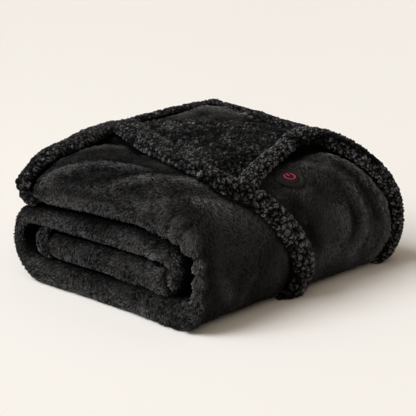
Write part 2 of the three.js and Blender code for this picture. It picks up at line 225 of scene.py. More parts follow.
def curve_through(knots: Array, step: float, bend: int = 2) -> Array:
    """Draws a smooth curve through knots.

    Args:
        knots: Rows of numbers, the first of them a place.
        step: Distance between the points of the curve.
        bend: How many numbers of a row are its place; the rest run straight.

    Returns:
        Rows along the curve, about a step apart.
    """
    out = []
    n = len(knots)
    for i in range(n - 1):
        x0, x1 = knots[max(i - 1, 0)], knots[i]
        x2, x3 = knots[i + 1], knots[min(i + 2, n - 1)]
        d1 = max(np.linalg.norm((x2 - x1)[:bend]) ** 0.5, 1e-4)
        d0 = np.linalg.norm((x1 - x0)[:bend]) ** 0.5 or d1
        d2 = np.linalg.norm((x3 - x2)[:bend]) ** 0.5 or d1
        first = x1 - x0 if i else x2 - x1
        last = x3 - x2 if i < n - 2 else x2 - x1
        m1 = (first / d0 - (first + x2 - x1) / (d0 + d1) + (x2 - x1) / d1) * d1
        m2 = ((x2 - x1) / d1 - (x2 - x1 + last) / (d1 + d2) + last / d2) * d1
        count = max(4, int(d1 * d1 / 2))
        t = np.linspace(0, 1, count, endpoint=i == n - 2)[:, None]
        piece = hermite(x1, x2, m1, m2, t)
        piece[:, bend:] = lerp(x1[bend:], x2[bend:], t)
        out.append(piece)
    dense = np.concatenate(out)
    at = lengths(dense[:, :bend])
    even = np.linspace(0, at[-1], max(3, int(round(at[-1] / step)) + 1))
    return read(dense, at, even)


def drawn(path: Sequence[Sequence[float]], step: float) -> Array:
    """Returns the smooth line through a path's places, its points about a step apart."""
    return curve_through(np.array(path, float), step)


def off_line(p: Array, line: Array) -> tuple[Array, Array]:
    """Measures places against a bent line.

    Args:
        p: Places, two numbers to a row.
        line: The line's points, two numbers to a row.

    Returns:
        Each place's distance from the line, and how far along it is, from 0 to 1.
    """
    best = np.full(p.shape[:-1], 1e9)
    along = np.zeros(p.shape[:-1])
    at = lengths(line)
    for i in range(len(line) - 1):
        way = line[i + 1] - line[i]
        t = np.clip(((p - line[i]) @ way) / max(way @ way, 1e-9), 0.0, 1.0)
        far = np.linalg.norm(p - line[i] - t[..., None] * way, axis=-1)
        along = np.where(far < best, lerp(at[i], at[i + 1], t), along)
        best = np.minimum(best, far)
    return best, along / at[-1]


def inside(p: Array, outline: Array) -> Array:
    """Returns which places lie inside a closed outline, both two numbers to a row."""
    hit = np.zeros(p.shape[:-1], bool)
    for a, b in zip(outline, np.roll(outline, -1, axis=0)):
        spans = (a[1] > p[..., 1]) != (b[1] > p[..., 1])
        rise = b[1] - a[1]
        cross = a[0] + (p[..., 1] - a[1]) * (b[0] - a[0]) / (rise if rise else 1e-9)
        hit ^= spans & (p[..., 0] < cross)
    return hit


# ---- the folded section ----
class Side(Enum):
    """The two faces of the wound strip."""

    OUT = "out"
    IN = "in"


@dataclass(frozen=True)
class Leg:
    """One straight run of the wound strip, in millimetres."""

    near: float
    far: float
    low: float
    high: float


def run(x0: float, z0: float, x1: float, z1: float, count: int) -> Array:
    """Returns count points of a straight run, its end left to the next piece."""
    t = np.linspace(0, 1, count, endpoint=False)[:, None]
    return lerp(np.array([x0, z0]), np.array([x1, z1]), t)


def bow(
    centre: Pair,
    radii: Pair,
    turn: Pair,
    count: int,
    power: float = 2.0,
) -> Array:
    """Draws part of a rounded square.

    Args:
        centre: Its middle.
        radii: Its half width and half height.
        turn: Its first and last angle in degrees.
        count: How many points; the end is left to the next piece.
        power: 2 for an ellipse, more for a squarer one.

    Returns:
        The points.
    """
    a = np.radians(np.linspace(turn[0], turn[1], count, endpoint=False))
    c, s = np.cos(a), np.sin(a)
    x = centre[0] + radii[0] * np.sign(c) * np.abs(c) ** (2 / power)
    z = centre[1] + radii[1] * np.sign(s) * np.abs(s) ** (2 / power)
    return np.stack([x, z], axis=1)


@dataclass(frozen=True)
class Bend:
    """An inner turn of the wound strip, in millimetres: its middle and its reach along X."""

    x: float
    z: float
    reach: float
    power: float = 2.0


@dataclass(frozen=True)
class Slump:
    """How the soft roll differs from the plain one, in millimetres."""

    lean_from: float = 50.0  # above this height the far end leans in
    lean_rise: float = 155.0
    lean_reach: float = 118.0
    lean_power: float = 1.6
    lean_back_share: float = 0.33
    near_drop: float = 0.15  # share of its height that the near end of the top loses
    near_over: float = 240.0
    far_drop: float = 0.035
    wave: float = 1.6
    bulge: float = 2.0
    square: float = 22.0  # how far the top's back edge stands out
    square_rise: float = 6.0
    foot: float = 5.0
    toe: float = 4.0
    drawn: float = 7.0  # how far the near end is drawn out
    drawn_over: float = 130.0
    nod: float = 7.0  # how far the near corner of the back edge hangs out
    nod_drop: float = 5.0


@dataclass(frozen=True)
class RollForm:
    """The roll's section and the soft form that the whole roll takes, in millimetres."""

    length: float = 446.0
    crown: float = 198.0
    wall_x: float = 188.0
    belly_x: float = -179.0
    core: Leg = Leg(-86, 129, 41, 81)
    second: Leg = Leg(-137, 129, 84, 116)
    bottom: Leg = Leg(-126, 146, 0, 37)
    top: Leg = Leg(-59, 76, 119, 198)
    nose_core: float = -112.0
    nose_top: float = -138.0
    nose_height: float = 148.0
    round_thin: float = 13.0
    round_top: float = 52.0
    round_far: float = 26.0
    nose_share: float = 0.36
    open_height: float = 57.0
    foot_height: float = 62.0
    foot_power: float = 2.7
    shoulder_height: float = 95.0
    shoulder_power: float = 2.2
    open_in: Bend = Bend(-132, 61, 29)
    foot_in: Bend = Bend(140, 62, 32, 2.3)
    shoulder_in: Bend = Bend(130, 88, 42, 2.2)
    lip_x: float = -112.0
    top_from: int = 52
    wall_from: int = 44
    slump: Slump = Slump()

    def outer(self) -> Array:
        """Returns the side of the strip that faces out of the roll, as x and z."""
        core, second, bottom, top = self.core, self.second, self.bottom, self.top
        hook = (core.low + core.high) / 2
        mid, turn = (second.high + core.low) / 2, (second.high - core.low) / 2
        open_z, foot_z, shoulder_z = self.open_height, self.foot_height, self.shoulder_height
        wall, squared = self.wall_x, self.shoulder_power
        nose_x, nose_z = self.nose_top, self.nose_height
        return np.concatenate([
            bow((core.near, hook), (core.near - self.nose_core, hook - core.low), (183, 270), 5),
            run(core.near, core.low, core.far, core.low, 6),
            bow((core.far, mid), (turn, turn), (-90, 90), 8),
            run(core.far, second.high, second.near, second.high, 8),
            bow((second.near, open_z), (second.near - self.belly_x, second.high - open_z),
                (90, 180), 5),
            bow((bottom.near, open_z), (bottom.near - self.belly_x, open_z), (180, 270), 5),
            run(bottom.near, 0, bottom.far, 0, 7),
            bow((bottom.far, foot_z), (wall - bottom.far, foot_z), (-90, 0), 6, self.foot_power),
            run(wall, foot_z, wall, shoulder_z, 2),
            bow((top.far, shoulder_z), (wall - top.far, self.crown - shoulder_z), (0, 90), 10,
                squared),
            run(top.far, self.crown, top.near, self.crown, 6),
            bow((top.near, nose_z), (top.near - nose_x, self.crown - nose_z), (90, 177), 8,
                squared),
            [[nose_x, nose_z + 1]],
        ])

    def inner(self) -> Array:
        """Returns the side of the strip that faces into the roll, as x and z."""
        core, second, bottom, top = self.core, self.second, self.bottom, self.top
        back, foot, shoulder = self.open_in, self.foot_in, self.shoulder_in
        hook = (core.low + core.high) / 2
        bend = core.far - 2
        mid, half = (core.high + second.low) / 2, (second.low - core.high) / 2
        foot_x, wall_x = foot.x + foot.reach, shoulder.x + shoulder.reach
        lip, nose_x, nose_z = self.lip_x, self.nose_top, self.nose_height
        return np.concatenate([
            bow((core.near, hook), (core.near - self.nose_core, core.high - hook), (177, 90), 5),
            run(core.near, core.high, bend, core.high, 6),
            bow((bend, mid), (half, half), (-90, 90), 8),
            run(bend, second.low, back.x, second.low, 8),
            bow((back.x, back.z), (back.reach, second.low - back.z), (90, 180), 5),
            bow((back.x, back.z), (back.reach, back.z - bottom.high), (180, 270), 5),
            run(back.x, bottom.high, foot.x, bottom.high, 7),
            bow((foot.x, foot.z), (foot.reach, foot.z - bottom.high), (-90, 0), 6, foot.power),
            run(foot_x, foot.z, wall_x, shoulder.z, 2),
            bow((shoulder.x, shoulder.z), (shoulder.reach, top.low - shoulder.z), (0, 90), 10,
                shoulder.power),
            run(shoulder.x, top.low, top.near, top.low, 6),
            run(top.near, top.low, lip, top.low, 4),
            bow((lip, nose_z), (lip - nose_x, nose_z - top.low), (270, 183), 4),
            [[nose_x, nose_z - 1]],
        ])

    def rows(self, side: Side) -> Array:
        """Lists the strip's rows.

        Args:
            side: Which face of the strip.

        Returns:
            For each row x and z, its nose's x and z, and the rounding of each end.
        """
        outer, inner = self.outer(), self.inner()
        n = len(outer)
        i = np.arange(n)
        t = ease((i - self.top_from) / 9)
        share = lerp(0.5, self.nose_share, t)
        hook = np.maximum(0, (5 - i) / 5)
        lip = np.maximum(0, (i - (n - 7)) / 6)
        nose_x = lerp(inner[:, 0], outer[:, 0], share) + self.round_thin * np.maximum(hook, lip)
        nose_z = lerp(inner[:, 1], outer[:, 1], share)
        thin = np.full(n, self.round_thin)
        if side is Side.OUT:
            near = lerp(self.round_thin, self.round_top, t)
            far = lerp(self.round_thin, self.round_far, t)
            return np.column_stack([outer, nose_x, nose_z, near, far])
        return np.column_stack([inner, nose_x, nose_z, thin, thin])

    def settle(self, p: Array) -> Array:
        """Gives points of the plain roll the place where the soft roll holds them."""
        x, y, z = p[..., 0], p[..., 1], p[..., 2]
        soft = self.slump
        side = lerp(soft.lean_back_share, 1.0, np.clip((x + 165) / 260, 0, 1))
        high = np.maximum(0, (z - soft.lean_from) / soft.lean_rise)
        lean = side * soft.lean_reach * high**soft.lean_power
        along = y * (self.length - lean) / self.length
        near = np.maximum(0, 1 - along / soft.near_over)
        drop = soft.near_drop * near * near + soft.far_drop * ease((along - 290) / 110)
        wave = ease((z - 60) / 60) * soft.wave * np.sin(x / 47 + along / 90)
        height = z - drop * np.maximum(0, z - self.top.low) + wave
        bulge = soft.bulge * np.sin(np.pi * np.clip(z, 0, 190) / 190) * ease(along / 120)
        back = ease((-x - 40) / 80) * ease((z - 117) / 14) * ease((along - 45) / 120)
        out = np.where(x > 0, 1.0, -0.5) * bulge * np.clip(np.abs(x) / 170, 0, 1)
        toe = np.exp(-(((x - 175) / 60) ** 2) - (z / 55) ** 2) * np.maximum(0, 1 - along / 110)
        lift = soft.square_rise * back * ease((z - 140) / 45) + soft.foot * ease(z / 32)
        drawn = soft.drawn * np.maximum(0, 1 - along / soft.drawn_over)
        nod = hump(along, 75) * ease((-x - 50) / 60) * ease((z - 117) / 25)
        return np.stack([
            x + out - soft.square * back - soft.nod * nod,
            along - soft.toe * toe - drawn,
            height + lift - soft.nod_drop * nod,
        ], axis=-1)

    def place(self, row: Array, y: Array, share: Array) -> Array:
        """Places points of the roll.

        Args:
            row: The strip's rows.
            y: How far along the roll.
            share: 1 on the strip's face, 0 at its nose.

        Returns:
            The points of the soft roll.
        """
        x = lerp(row[..., 2], row[..., 0], share)
        z = lerp(row[..., 3], row[..., 1], share)
        return self.settle(np.stack([x, y + 0 * x, z], axis=-1))


@dataclass(frozen=True)
class Chart:
    """A face of the roll, read by q along its section and y along the roll."""

    form: RollForm
    rows: Array
    at: Array

    @staticmethod
    def of(form: RollForm, pieces: Sequence[Array]) -> "Chart":
        """Returns the chart of a form's rows, given as pieces that follow each other."""
        rows = np.concatenate(pieces)
        return Chart(form, rows, lengths(rows[:, :2]))

    @property
    def end(self) -> float:
        """Where the chart ends."""
        return float(self.at[-1])

    def point(self, q: Array, y: Array) -> Array:
        """Returns the points of the skin at q and y."""
        row = smooth_rows(self.rows, self.at, q)
        near = np.clip(1 - y / row[..., 4], 0, 1)
        far = np.clip(1 - (self.form.length - y) / row[..., 5], 0, 1)
        share = rounded(np.maximum(near, far))
        return self.form.place(row, np.clip(y, 0, self.form.length), share)

    def normal(self, q: Array, y: Array) -> Array:
        """Returns the skin's outward directions at q and y."""
        e = lerp(3.0, 9.0, ease((q - 492) / 22))
        yy = np.clip(y, 5, self.form.length - 5)
        qq = np.clip(q, e, self.end - e)
        a = self.point(qq + e, yy) - self.point(qq - e, yy)
        b = self.point(qq, yy + 3) - self.point(qq, yy - 3)
        return unit(np.cross(b, a))

    def on(self, q: Array, y: Array, lift: Array | float, flat: Array | float = 0.0) -> Array:
        """Finds points above the skin.

        Args:
            q: The way along the section.
            y: The way along the roll.
            lift: Height above the skin.
            flat: 1 where the height is measured in the plane of the section.

        Returns:
            The points.
        """
        n = self.normal(q, y)
        n[..., 1] *= 1 - flat
        p = self.point(q, y) + unit(n) * np.asarray(lift)[..., None]
        p[..., 2] = np.maximum(p[..., 2], 0.4)
        return p

    def spread(self, q: Array, y: Array) -> Array:
        """Returns q and y as a pair in which the rounded near end has its real length."""
        near = smooth_rows(self.rows, self.at, q)[..., 4]
        turned = near * np.arccos(np.clip(1 - y / near, 0, 1))
        real = np.where(y < near, turned, y + near * (np.pi / 2 - 1))
        return np.stack([q, real], axis=-1)


def skin_of(form: RollForm) -> Chart:
    """Returns the outer skin, from the floor over the front bend to under the back edge."""
    out, into = form.rows(Side.OUT), form.rows(Side.IN)
    return Chart.of(form, [out[form.wall_from:], into[-1:-7:-1]])


def hook_of(form: RollForm) -> Chart:
    """Returns the skin of the core's folded edge."""
    out, into = form.rows(Side.OUT), form.rows(Side.IN)
    return Chart.of(form, [into[7::-1], out[:8]])


# ---- meshes ----
@dataclass
class Sewing:
    """Gathers the points and faces of one mesh, and lays its faces out flat."""

    points: list[Array] = field(default_factory=list)
    shades: list[Array] = field(default_factory=list)
    faces: list[Array] = field(default_factory=list)
    maps: list[Array] = field(default_factory=list)
    count: int = 0

    def add(self, p: Array, shade: Array | float = 1.0) -> Array:
        """Adds points.

        Args:
            p: The points in the roll's own millimetres.
            shade: How light each one is, from 0 to 1.

        Returns:
            Their numbers, in the shape of the points.
        """
        shape = p.shape[:-1]
        flat = p.reshape(-1, 3)
        self.points.append(flat)
        self.shades.append(np.ravel(shade) + np.zeros(len(flat)))
        first = self.count
        self.count += len(flat)
        return np.arange(first, self.count).reshape(shape)

    def grid(self, index: Array, window: Pair, wrap: bool = False) -> None:
        """Covers a net of points with faces.

        Args:
            index: The points' numbers, row by row.
            window: The lowest and highest v of the faces on the flat layout.
            wrap: Whether the last row is sewn to the first.
        """
        if wrap:
            index = np.concatenate([index, index[:1]])
        n, m = index.shape
        i, j = np.indices((n - 1, m - 1))
        corners = [(i, j), (i, j + 1), (i + 1, j + 1), (i + 1, j)]
        quads = np.stack([index[a, b].ravel() for a, b in corners], axis=1)
        u = np.stack([(a / (n - 1)).ravel() for a, _ in corners], axis=1)
        v = np.stack([(b / (m - 1)).ravel() for _, b in corners], axis=1)
        self.faces.append(quads)
        self.maps.append(np.stack([u, lerp(*window, v)], axis=-1))

    def zip(self, a: Array, ta: Array, b: Array, tb: Array, window: Pair) -> None:
        """Closes the seam between two lines of points.

        Args:
            a: Numbers of the first line's points.
            ta: How far along each one is.
            b: Numbers of the second line's points.
            tb: How far along each one is.
            window: The lowest and highest v of the faces on the flat layout.
        """
        i = j = 0
        faces, maps = [], []
        low, high = window
        span = max(ta[-1] - ta[0], 1e-9)
        ua, ub = (ta - ta[0]) / span, (tb - ta[0]) / span
        while i < len(a) - 1 or j < len(b) - 1:
            if j == len(b) - 1 or (i < len(a) - 1 and ta[i + 1] <= tb[j + 1]):
                faces.append([a[i], a[i + 1], b[j]])
                maps.append([[ua[i], low], [ua[i + 1], low], [ub[j], high]])
                i += 1
            else:
                faces.append([a[i], b[j + 1], b[j]])
                maps.append([[ua[i], low], [ub[j + 1], high], [ub[j], high]])
                j += 1
        self.faces.append(np.array(faces))
        self.maps.append(np.array(maps))

    def fan(self, ring: Array, hub: int, window: Pair) -> None:
        """Closes a ring of points with a fan of faces round a hub point."""
        after = np.roll(ring, -1)
        self.faces.append(np.stack([ring, after, np.full(len(ring), hub)], axis=1))
        t = np.linspace(0, 1, len(ring) + 1)
        low, top = (np.full(len(ring), v) for v in window)
        pairs = [(t[:-1], low), (t[1:], low), ((t[:-1] + t[1:]) / 2, top)]
        self.maps.append(np.stack([np.stack(p, axis=1) for p in pairs], axis=1))

    def slab(self, over: Array, under: Array) -> None:
        """Lays the two nets of a slab and closes its long sides."""
        self.grid(over, (0.0, 0.94))
        self.grid(under[:, ::-1], (0.95, 0.965))
        self.grid(np.column_stack([over[:, -1], under[:, -1]]), (0.967, 0.97))
        self.grid(np.column_stack([under[:, 0], over[:, 0]]), (0.971, 0.974))

    def caps(
        self, rings: Sequence[Array], hubs: Sequence[Array], v: Place, shade: float = 0.5
    ) -> None:
        """Closes both ends of a long form with fans.

        Args:
            rings: The point numbers round the first end and round the last.
            hubs: The middle of each end.
            v: Where each fan starts on the flat layout, and how far it reaches.
            shade: How light the middles are.
        """
        first, last = rings
        for ring, hub, low in ((first[::-1], hubs[0], v[0]), (last, hubs[1], v[1])):
            middle = self.add(hub[None], shade)
            self.fan(ring, int(middle[0]), (low, low + v[2]))

    def volume(self, p: Array) -> float:
        """Returns six times the volume that the faces hold, below 0 if they face in."""
        total = 0.0
        for f in self.faces:
            for k in range(1, f.shape[1] - 1):
                a, b, c = p[f[:, 0]], p[f[:, k]], p[f[:, k + 1]]
                total += float(np.einsum("ij,ij->", a, np.cross(b, c)))
        return total

    def object(self, name: str, smooth: bool = True) -> Piece:
        """Makes the Blender object, in metres and in the part's frame.

        Args:
            name: The piece's name.
            smooth: Whether its faces are shaded as one soft surface.

        Returns:
            The object, linked to the scene.
        """
        p = np.concatenate(self.points)
        if self.volume(p - p.mean(0)) < 0:
            self.faces = [f[:, ::-1] for f in self.faces]
            self.maps = [m[:, ::-1] for m in self.maps]
        mesh = bpy.data.meshes.new(name)
        mesh.vertices.add(len(p))
        mesh.vertices.foreach_set("co", ((p - MIDDLE) * MM).astype(np.float32).ravel())
        corners = np.concatenate([f.ravel() for f in self.faces]).astype(np.int32)
        sizes = np.concatenate([np.full(len(f), f.shape[1]) for f in self.faces])
        starts = np.concatenate([[0], np.cumsum(sizes)[:-1]]).astype(np.int32)
        mesh.loops.add(len(corners))
        mesh.loops.foreach_set("vertex_index", corners)
        mesh.polygons.add(len(sizes))
        mesh.polygons.foreach_set("loop_start", starts)
        mesh.polygons.foreach_set("use_smooth", np.full(len(sizes), smooth))
        mesh.update(calc_edges=True)
        layout = mesh.uv_layers.new(name=MAP_NAME)
        flat = np.concatenate([m.reshape(-1, 2) for m in self.maps]).astype(np.float32)
        layout.uv.foreach_set("vector", flat.ravel())
        light = mesh.attributes.new(SHADE, "FLOAT", "POINT")
        light.data.foreach_set("value", np.concatenate(self.shades).astype(np.float32))
        return linked(name, mesh)


def linked(name: str, data: bpy.types.ID) -> Piece:
    """Returns a new object that holds the data, linked to the scene."""
    made = bpy.data.objects.new(name, data)
    bpy.context.scene.collection.objects.link(made)
    return made


def net_normals(p: Array, wrap: bool) -> Array:
    """Finds the outward directions of a net of points.

    Args:
        p: The points, row by row.
        wrap: Whether the last row meets the first.

    Returns:
        A direction for each point, along the first way crossed with the second.
    """
    if wrap:
        a = np.roll(p, -1, axis=0) - np.roll(p, 1, axis=0)
    else:
        a = np.gradient(p, axis=0)
    return unit(np.cross(np.gradient(p, axis=1), a))


def outward(p: Array, away: Array) -> Array:
    """Returns a net's directions, turned to the side that most of them should look to."""
    out = net_normals(p, False)
    return -out if np.einsum("ijk,ijk->", out, away) < 0 else out


def triangles_of(piece: Piece) -> int:
    """Returns how many triangles a piece has."""
    return sum(len(f.vertices) - 2 for f in piece.data.polygons)


# ---- shader graphs ----
class Wire:
    """A shader value that can be used in sums."""

    def __init__(self, graph: "Graph", socket: bpy.types.NodeSocket) -> None:
        """Wraps a node's output socket."""
        self.graph = graph
        self.socket = socket

    def _math(self, operation: str, *values: object) -> "Wire":
        """Returns the result of a Math node."""
        settings = {"operation": operation}
        return self.graph.node("ShaderNodeMath", settings, dict(enumerate(values)))

    def __add__(self, other: object) -> "Wire":
        """Adds."""
        return self._math("ADD", self, other)

    __radd__ = __add__

    def __mul__(self, other: object) -> "Wire":
        """Multiplies."""
        return self._math("MULTIPLY", self, other)

    __rmul__ = __mul__

    def __sub__(self, other: object) -> "Wire":
        """Subtracts."""
        return self._math("SUBTRACT", self, other)

    def __rsub__(self, other: object) -> "Wire":
        """Subtracts this from a number."""
        return self._math("SUBTRACT", other, self)

    def __pow__(self, other: object) -> "Wire":
        """Raises to a power."""
        return self._math("POWER", self, other)

    def __rpow__(self, other: object) -> "Wire":
        """Raises a number to this power."""
        return self._math("POWER", other, self)

    def waves(self, turns: float) -> "Wire":
        """Returns waves between 0 and 1, so many turns of them as this value grows by 1."""
        return self._math("SINE", self * (2 * math.pi * turns)) * 0.5 + 0.5

    def held(self) -> "Wire":
        """Returns this value held between 0 and 1."""
        return self._math("MINIMUM", self._math("MAXIMUM", self, 0.0), 1.0)


class Graph:
    """The node tree of one material."""

    def __init__(self, name: str) -> None:
        """Makes a material of that name with an empty tree."""
        self.material = bpy.data.materials.new(name)
        self.material.use_nodes = True
        self.tree = self.material.node_tree
        self.tree.nodes.clear()

    def node(self, kind: str, settings: dict, values: dict, output: int | str = 0) -> Wire:
        """Makes one node.

        Args:
            kind: Blender's type of the node.
            settings: Its settings.
            values: Numbers, colours or wires for its sockets.
            output: Which of its outputs to give back.

        Returns:
            The output, as a wire.
        """
        made = self.tree.nodes.new(kind)
        for key, value in settings.items():
            setattr(made, key, value)
        for key, value in values.items():
            if isinstance(value, Wire):
                self.tree.links.new(value.socket, made.inputs[key])
            else:
                made.inputs[key].default_value = value
        return Wire(self, made.outputs[output])

    def shade(self) -> Wire:
        """Returns the lightness painted on the mesh's points, painted shade and highlights
        included.
        """
        return self.node("ShaderNodeAttribute", {"attribute_name": SHADE}, {}, "Fac")

    def place(self, stretch: Place = (1.0, 1.0, 1.0)) -> Wire:
        """Returns the object's own coordinates, stretched."""
        values = {0: self.node("ShaderNodeTexCoord", {}, {}, "Object"), 1: stretch}
        return self.node("ShaderNodeVectorMath", {"operation": "MULTIPLY"}, values)

    def grain(self, place: Wire, per_metre: float, detail: float = 2.0) -> Wire:
        """Returns noise, with so many swells to a metre."""
        values = {"Vector": place, "Scale": per_metre, "Detail": detail}
        return self.node("ShaderNodeTexNoise", {}, values, "Fac")

    def between(self, share: Wire, low: Sequence[float], high: Sequence[float]) -> Wire:
        """Returns the colour between two colours at that share."""
        values = {0: share, 6: (*low, 1.0), 7: (*high, 1.0)}
        return self.node("ShaderNodeMix", {"data_type": "RGBA"}, values, 2)

    def bump(self, height: Wire, strength: float, distance: float) -> Wire:
        """Returns a normal that makes the height felt."""
        values = {"Strength": strength, "Distance": distance, "Height": height}
        return self.node("ShaderNodeBump", {}, values)

    def finish(self, values: dict) -> Material:
        """Closes the tree with the main shader and returns the material."""
        shader = self.node("ShaderNodeBsdfPrincipled", {}, values)
        end = self.tree.nodes.new("ShaderNodeOutputMaterial")
        self.tree.links.new(shader.socket, end.inputs["Surface"])
        return self.material


# ---- finishes ----
@dataclass(frozen=True)
class ClothFinish:
    """What the cloths share: no gloss, and a soft sheen where they turn away."""

    name: str
    dark: Colour
    light: Colour
    sheen: float
    sheen_roughness: float = 0.4
    sheen_tint: Colour = (0.4, 0.4, 0.4)

    def close(self, g: Graph, tone: Wire, values: dict) -> Material:
        """Closes a tree whose colour follows the tone, with the cloth's sheen."""
        return g.finish({
            "Base Color": g.between(tone.held(), self.dark, self.light),
            "Specular IOR Level": 0.0,
            "Sheen Weight": self.sheen,
            "Sheen Roughness": self.sheen_roughness,
            "Sheen Tint": (*self.sheen_tint, 1.0),
            **values,
        })


@dataclass(frozen=True)
class PlushFinish(ClothFinish):
    """Short dense plush."""

    name: str = "plush"
    dark: Colour = (0.002, 0.002, 0.0021)
    light: Colour = (0.038, 0.038, 0.038)
    sheen: float = 0.002
    sheen_roughness: float = 0.45
    sheen_tint: Colour = (0.30, 0.30, 0.30)

    def build(self) -> Material:
        """Returns the material."""
        g = Graph(self.name)
        place = g.place()
        broad = g.grain(place, 24.0, 3.0)
        tuft = g.grain(place, 260.0, 3.0)
        fibre = g.grain(g.place((1.0, 1.0, 0.35)), 900.0, 2.0)
        # The colour follows the shade attribute, which carries the cloth's painted shade and
        # highlights.
        tone = (broad * 0.6 + tuft * 1.2 + fibre * 0.5 - 0.8) * g.shade() + fibre * 0.1 - 0.04
        return self.close(g, tone, {
            "Roughness": (0.86 + tuft * 0.14).held(),
            "Normal": g.bump(tuft * 0.7 + fibre * 0.4, 0.6, 0.0012),
        })


@dataclass(frozen=True)
class PileFinish(ClothFinish):
    """The single locks of the plush pile."""

    name: str = "plush_pile"
    dark: Colour = (0.0012, 0.0012, 0.0013)
    light: Colour = (0.158, 0.162, 0.171)
    sheen: float = 0.05

    def build(self) -> Material:
        """Returns the material."""
        g = Graph(self.name)
        broad = g.grain(g.place(), 30.0, 2.0)
        # The shade attribute carries painted shade at the locks' roots, lighter tips, and the
        # cloth's painted shade and highlights.
        tone = g.shade() * (broad * 0.7 + 0.6)
        return self.close(g, tone, {"Roughness": (0.95 - broad * 0.15).held()})


@dataclass(frozen=True)
class FleeceFinish(ClothFinish):
    """Curled fleece: lighter on its curls, with painted shade in the gaps between them."""

    name: str = "fleece"
    dark: Colour = (0.0010, 0.0010, 0.0011)
    light: Colour = (0.150, 0.154, 0.160)
    sheen: float = 0.08

    def build(self) -> Material:
        """Returns the material."""
        g = Graph(self.name)
        place = g.place()
        curl = g.grain(place, 380.0, 3.0)
        fibre = g.grain(place, 760.0, 2.0)
        broad = g.grain(place, 20.0, 1.0)
        wool = ((curl - 0.36) * 4.0).held()
        thread = (g.grain(place, 230.0, 1.0).waves(6.0) * 1.5 - 0.25).held()
        tone = g.shade() ** 1.6 * (0.2 + 1.1 * wool + 0.35 * broad) * (0.12 + 1.75 * thread)
        return self.close(g, tone, {
            "Roughness": (0.85 + curl * 0.15).held(),
            "Normal": g.bump(curl * 0.8 + fibre * 0.35, 0.8, 0.002),
        })


@dataclass(frozen=True)
class ButtonFinish:
    """The soft matt cover of the control button."""

    name: str = "button_cover"
    colour: Colour = (0.007, 0.007, 0.0074)
    worn: Colour = (0.016, 0.016, 0.0166)

    def build(self) -> Material:
        """Returns the material."""
        g = Graph(self.name)
        place = g.place()
        grain = g.grain(place, 700.0, 3.0)
        cloud = g.grain(place, 60.0, 2.0)
        return g.finish({
            "Base Color": g.between((cloud * 0.6 + grain * 0.4).held(), self.colour, self.worn),
            "Roughness": (0.55 + grain * 0.25).held(),
            "Normal": g.bump(grain, 0.25, 0.0005),
            "Specular IOR Level": 0.12,
        })


@dataclass(frozen=True)
class LitFinish:
    """The lit thread of the power mark."""

    name: str = "lit_thread"
    low: Colour = (0.20, 0.003, 0.022)
    high: Colour = (0.40, 0.008, 0.048)
    strength: float = 0.12

    def build(self) -> Material:
        """Returns the material."""
        g = Graph(self.name)
        thread = g.grain(g.place(), 1500.0, 2.0)
        colour = g.between(thread.held(), self.low, self.high)
        return g.finish({
            "Base Color": colour,
            "Roughness": (0.45 + thread * 0.2).held(),
            "Emission Color": colour,
            "Emission Strength": self.strength,
            "Normal": g.bump(thread, 0.3, 0.0003),
        })


@dataclass(frozen=True)
class FloorFinish:
    """A plain pale floor."""

    name: str = "pale_floor"
    colour: Colour = (0.86, 0.857, 0.852)

    def build(self) -> Material:
        """Returns the material."""
        g = Graph(self.name)
        cloud = g.grain(g.place(), 1.5, 1.0)
        low = tuple(0.985 * c for c in self.colour)
        return g.finish({
            "Base Color": g.between(cloud, low, self.colour),
            "Roughness": 0.9,
            "Specular IOR Level": 0.1,
        })


# ---- places on the skin ----
@dataclass(frozen=True)
class Stroke:
    """A soft stroke on the skin, strongest at its middle line."""

    amount: float
    width: float
    path: Array  # q and y of each place


def strokes(*rows: tuple[float, ...]) -> list[Stroke]:
    """Returns strokes from rows of amount, width, and then q and y of each place."""
    return [Stroke(row[0], row[1], np.reshape(row[2:], (-1, 2))) for row in rows]


# The soft ridges of the plush, and its troughs, whose height is below 0.
CREASES = strokes(
    (7.0, 6, 478, 6, 452, 12, 418, 22, 384, 34, 350, 41, 326, 46, 296, 52),
    (4.0, 6, 474, 40, 454, 66, 440, 88, 420, 106, 398, 114),
    (-2.7, 8, 440, 6, 410, 12, 380, 22, 350, 28, 318, 34),
    (4.8, 8, 380, 3, 343, 11, 311, 23, 273, 40, 251, 61, 232, 83, 216, 98),
    (-2.4, 8, 350, 4, 318, 12, 284, 26, 262, 44, 246, 66),
    (3.9, 8, 284, 3, 257, 8, 229, 19, 212, 37, 197, 66, 183, 95),
    (8.0, 5, 224, 370, 208, 384, 182, 396, 150, 401, 116, 404, 88, 404, 64, 398, 42, 380),
    (-5.0, 6.5, 196, 372, 176, 380, 154, 382, 130, 383, 104, 383, 82, 377, 62, 363),
    (5.0, 7, 190, 352, 168, 358, 140, 357, 114, 356, 92, 352, 74, 338, 60, 320),
    (-3.6, 7, 170, 330, 150, 332, 130, 333, 110, 333, 92, 329, 76, 314),
    (2.0, 10, 140, 310, 116, 310, 96, 304, 78, 290, 66, 272),
    (3.0, 9, 212, 292, 202, 328, 186, 348),
    (-3.4, 12, 180, 216, 148, 222, 110, 236, 70, 244),
    (3.4, 9, 110, 36, 78, 54, 62, 64, 44, 74),
    (2.0, 8, 96, 116, 62, 98, 40, 92),
    (3.9, 7, 470, 350, 453, 390, 426, 404, 394, 411),
    (-2.7, 7, 440, 330, 428, 372, 405, 398),
    (3.9, 7, 432, 318, 421, 346, 418, 385, 400, 420),
    (4.2, 7, 440, 262, 450, 300, 458, 350, 462, 405),
    (4.2, 7, 416, 312, 424, 350, 434, 385, 440, 415),
    (3.9, 7, 382, 350, 390, 375, 396, 408),
    (-3.3, 9, 240, 215, 228, 260, 236, 310, 249, 350),
    (-3.0, 10, 300, 80, 345, 95, 390, 118, 430, 140),
    (-9.0, 11, 474, 60, 466, 82, 460, 104, 452, 124, 434, 136, 404, 134),
    (-8.0, 8, 222, 300, 230, 335, 232, 362, 224, 384, 204, 402, 180, 410),
)
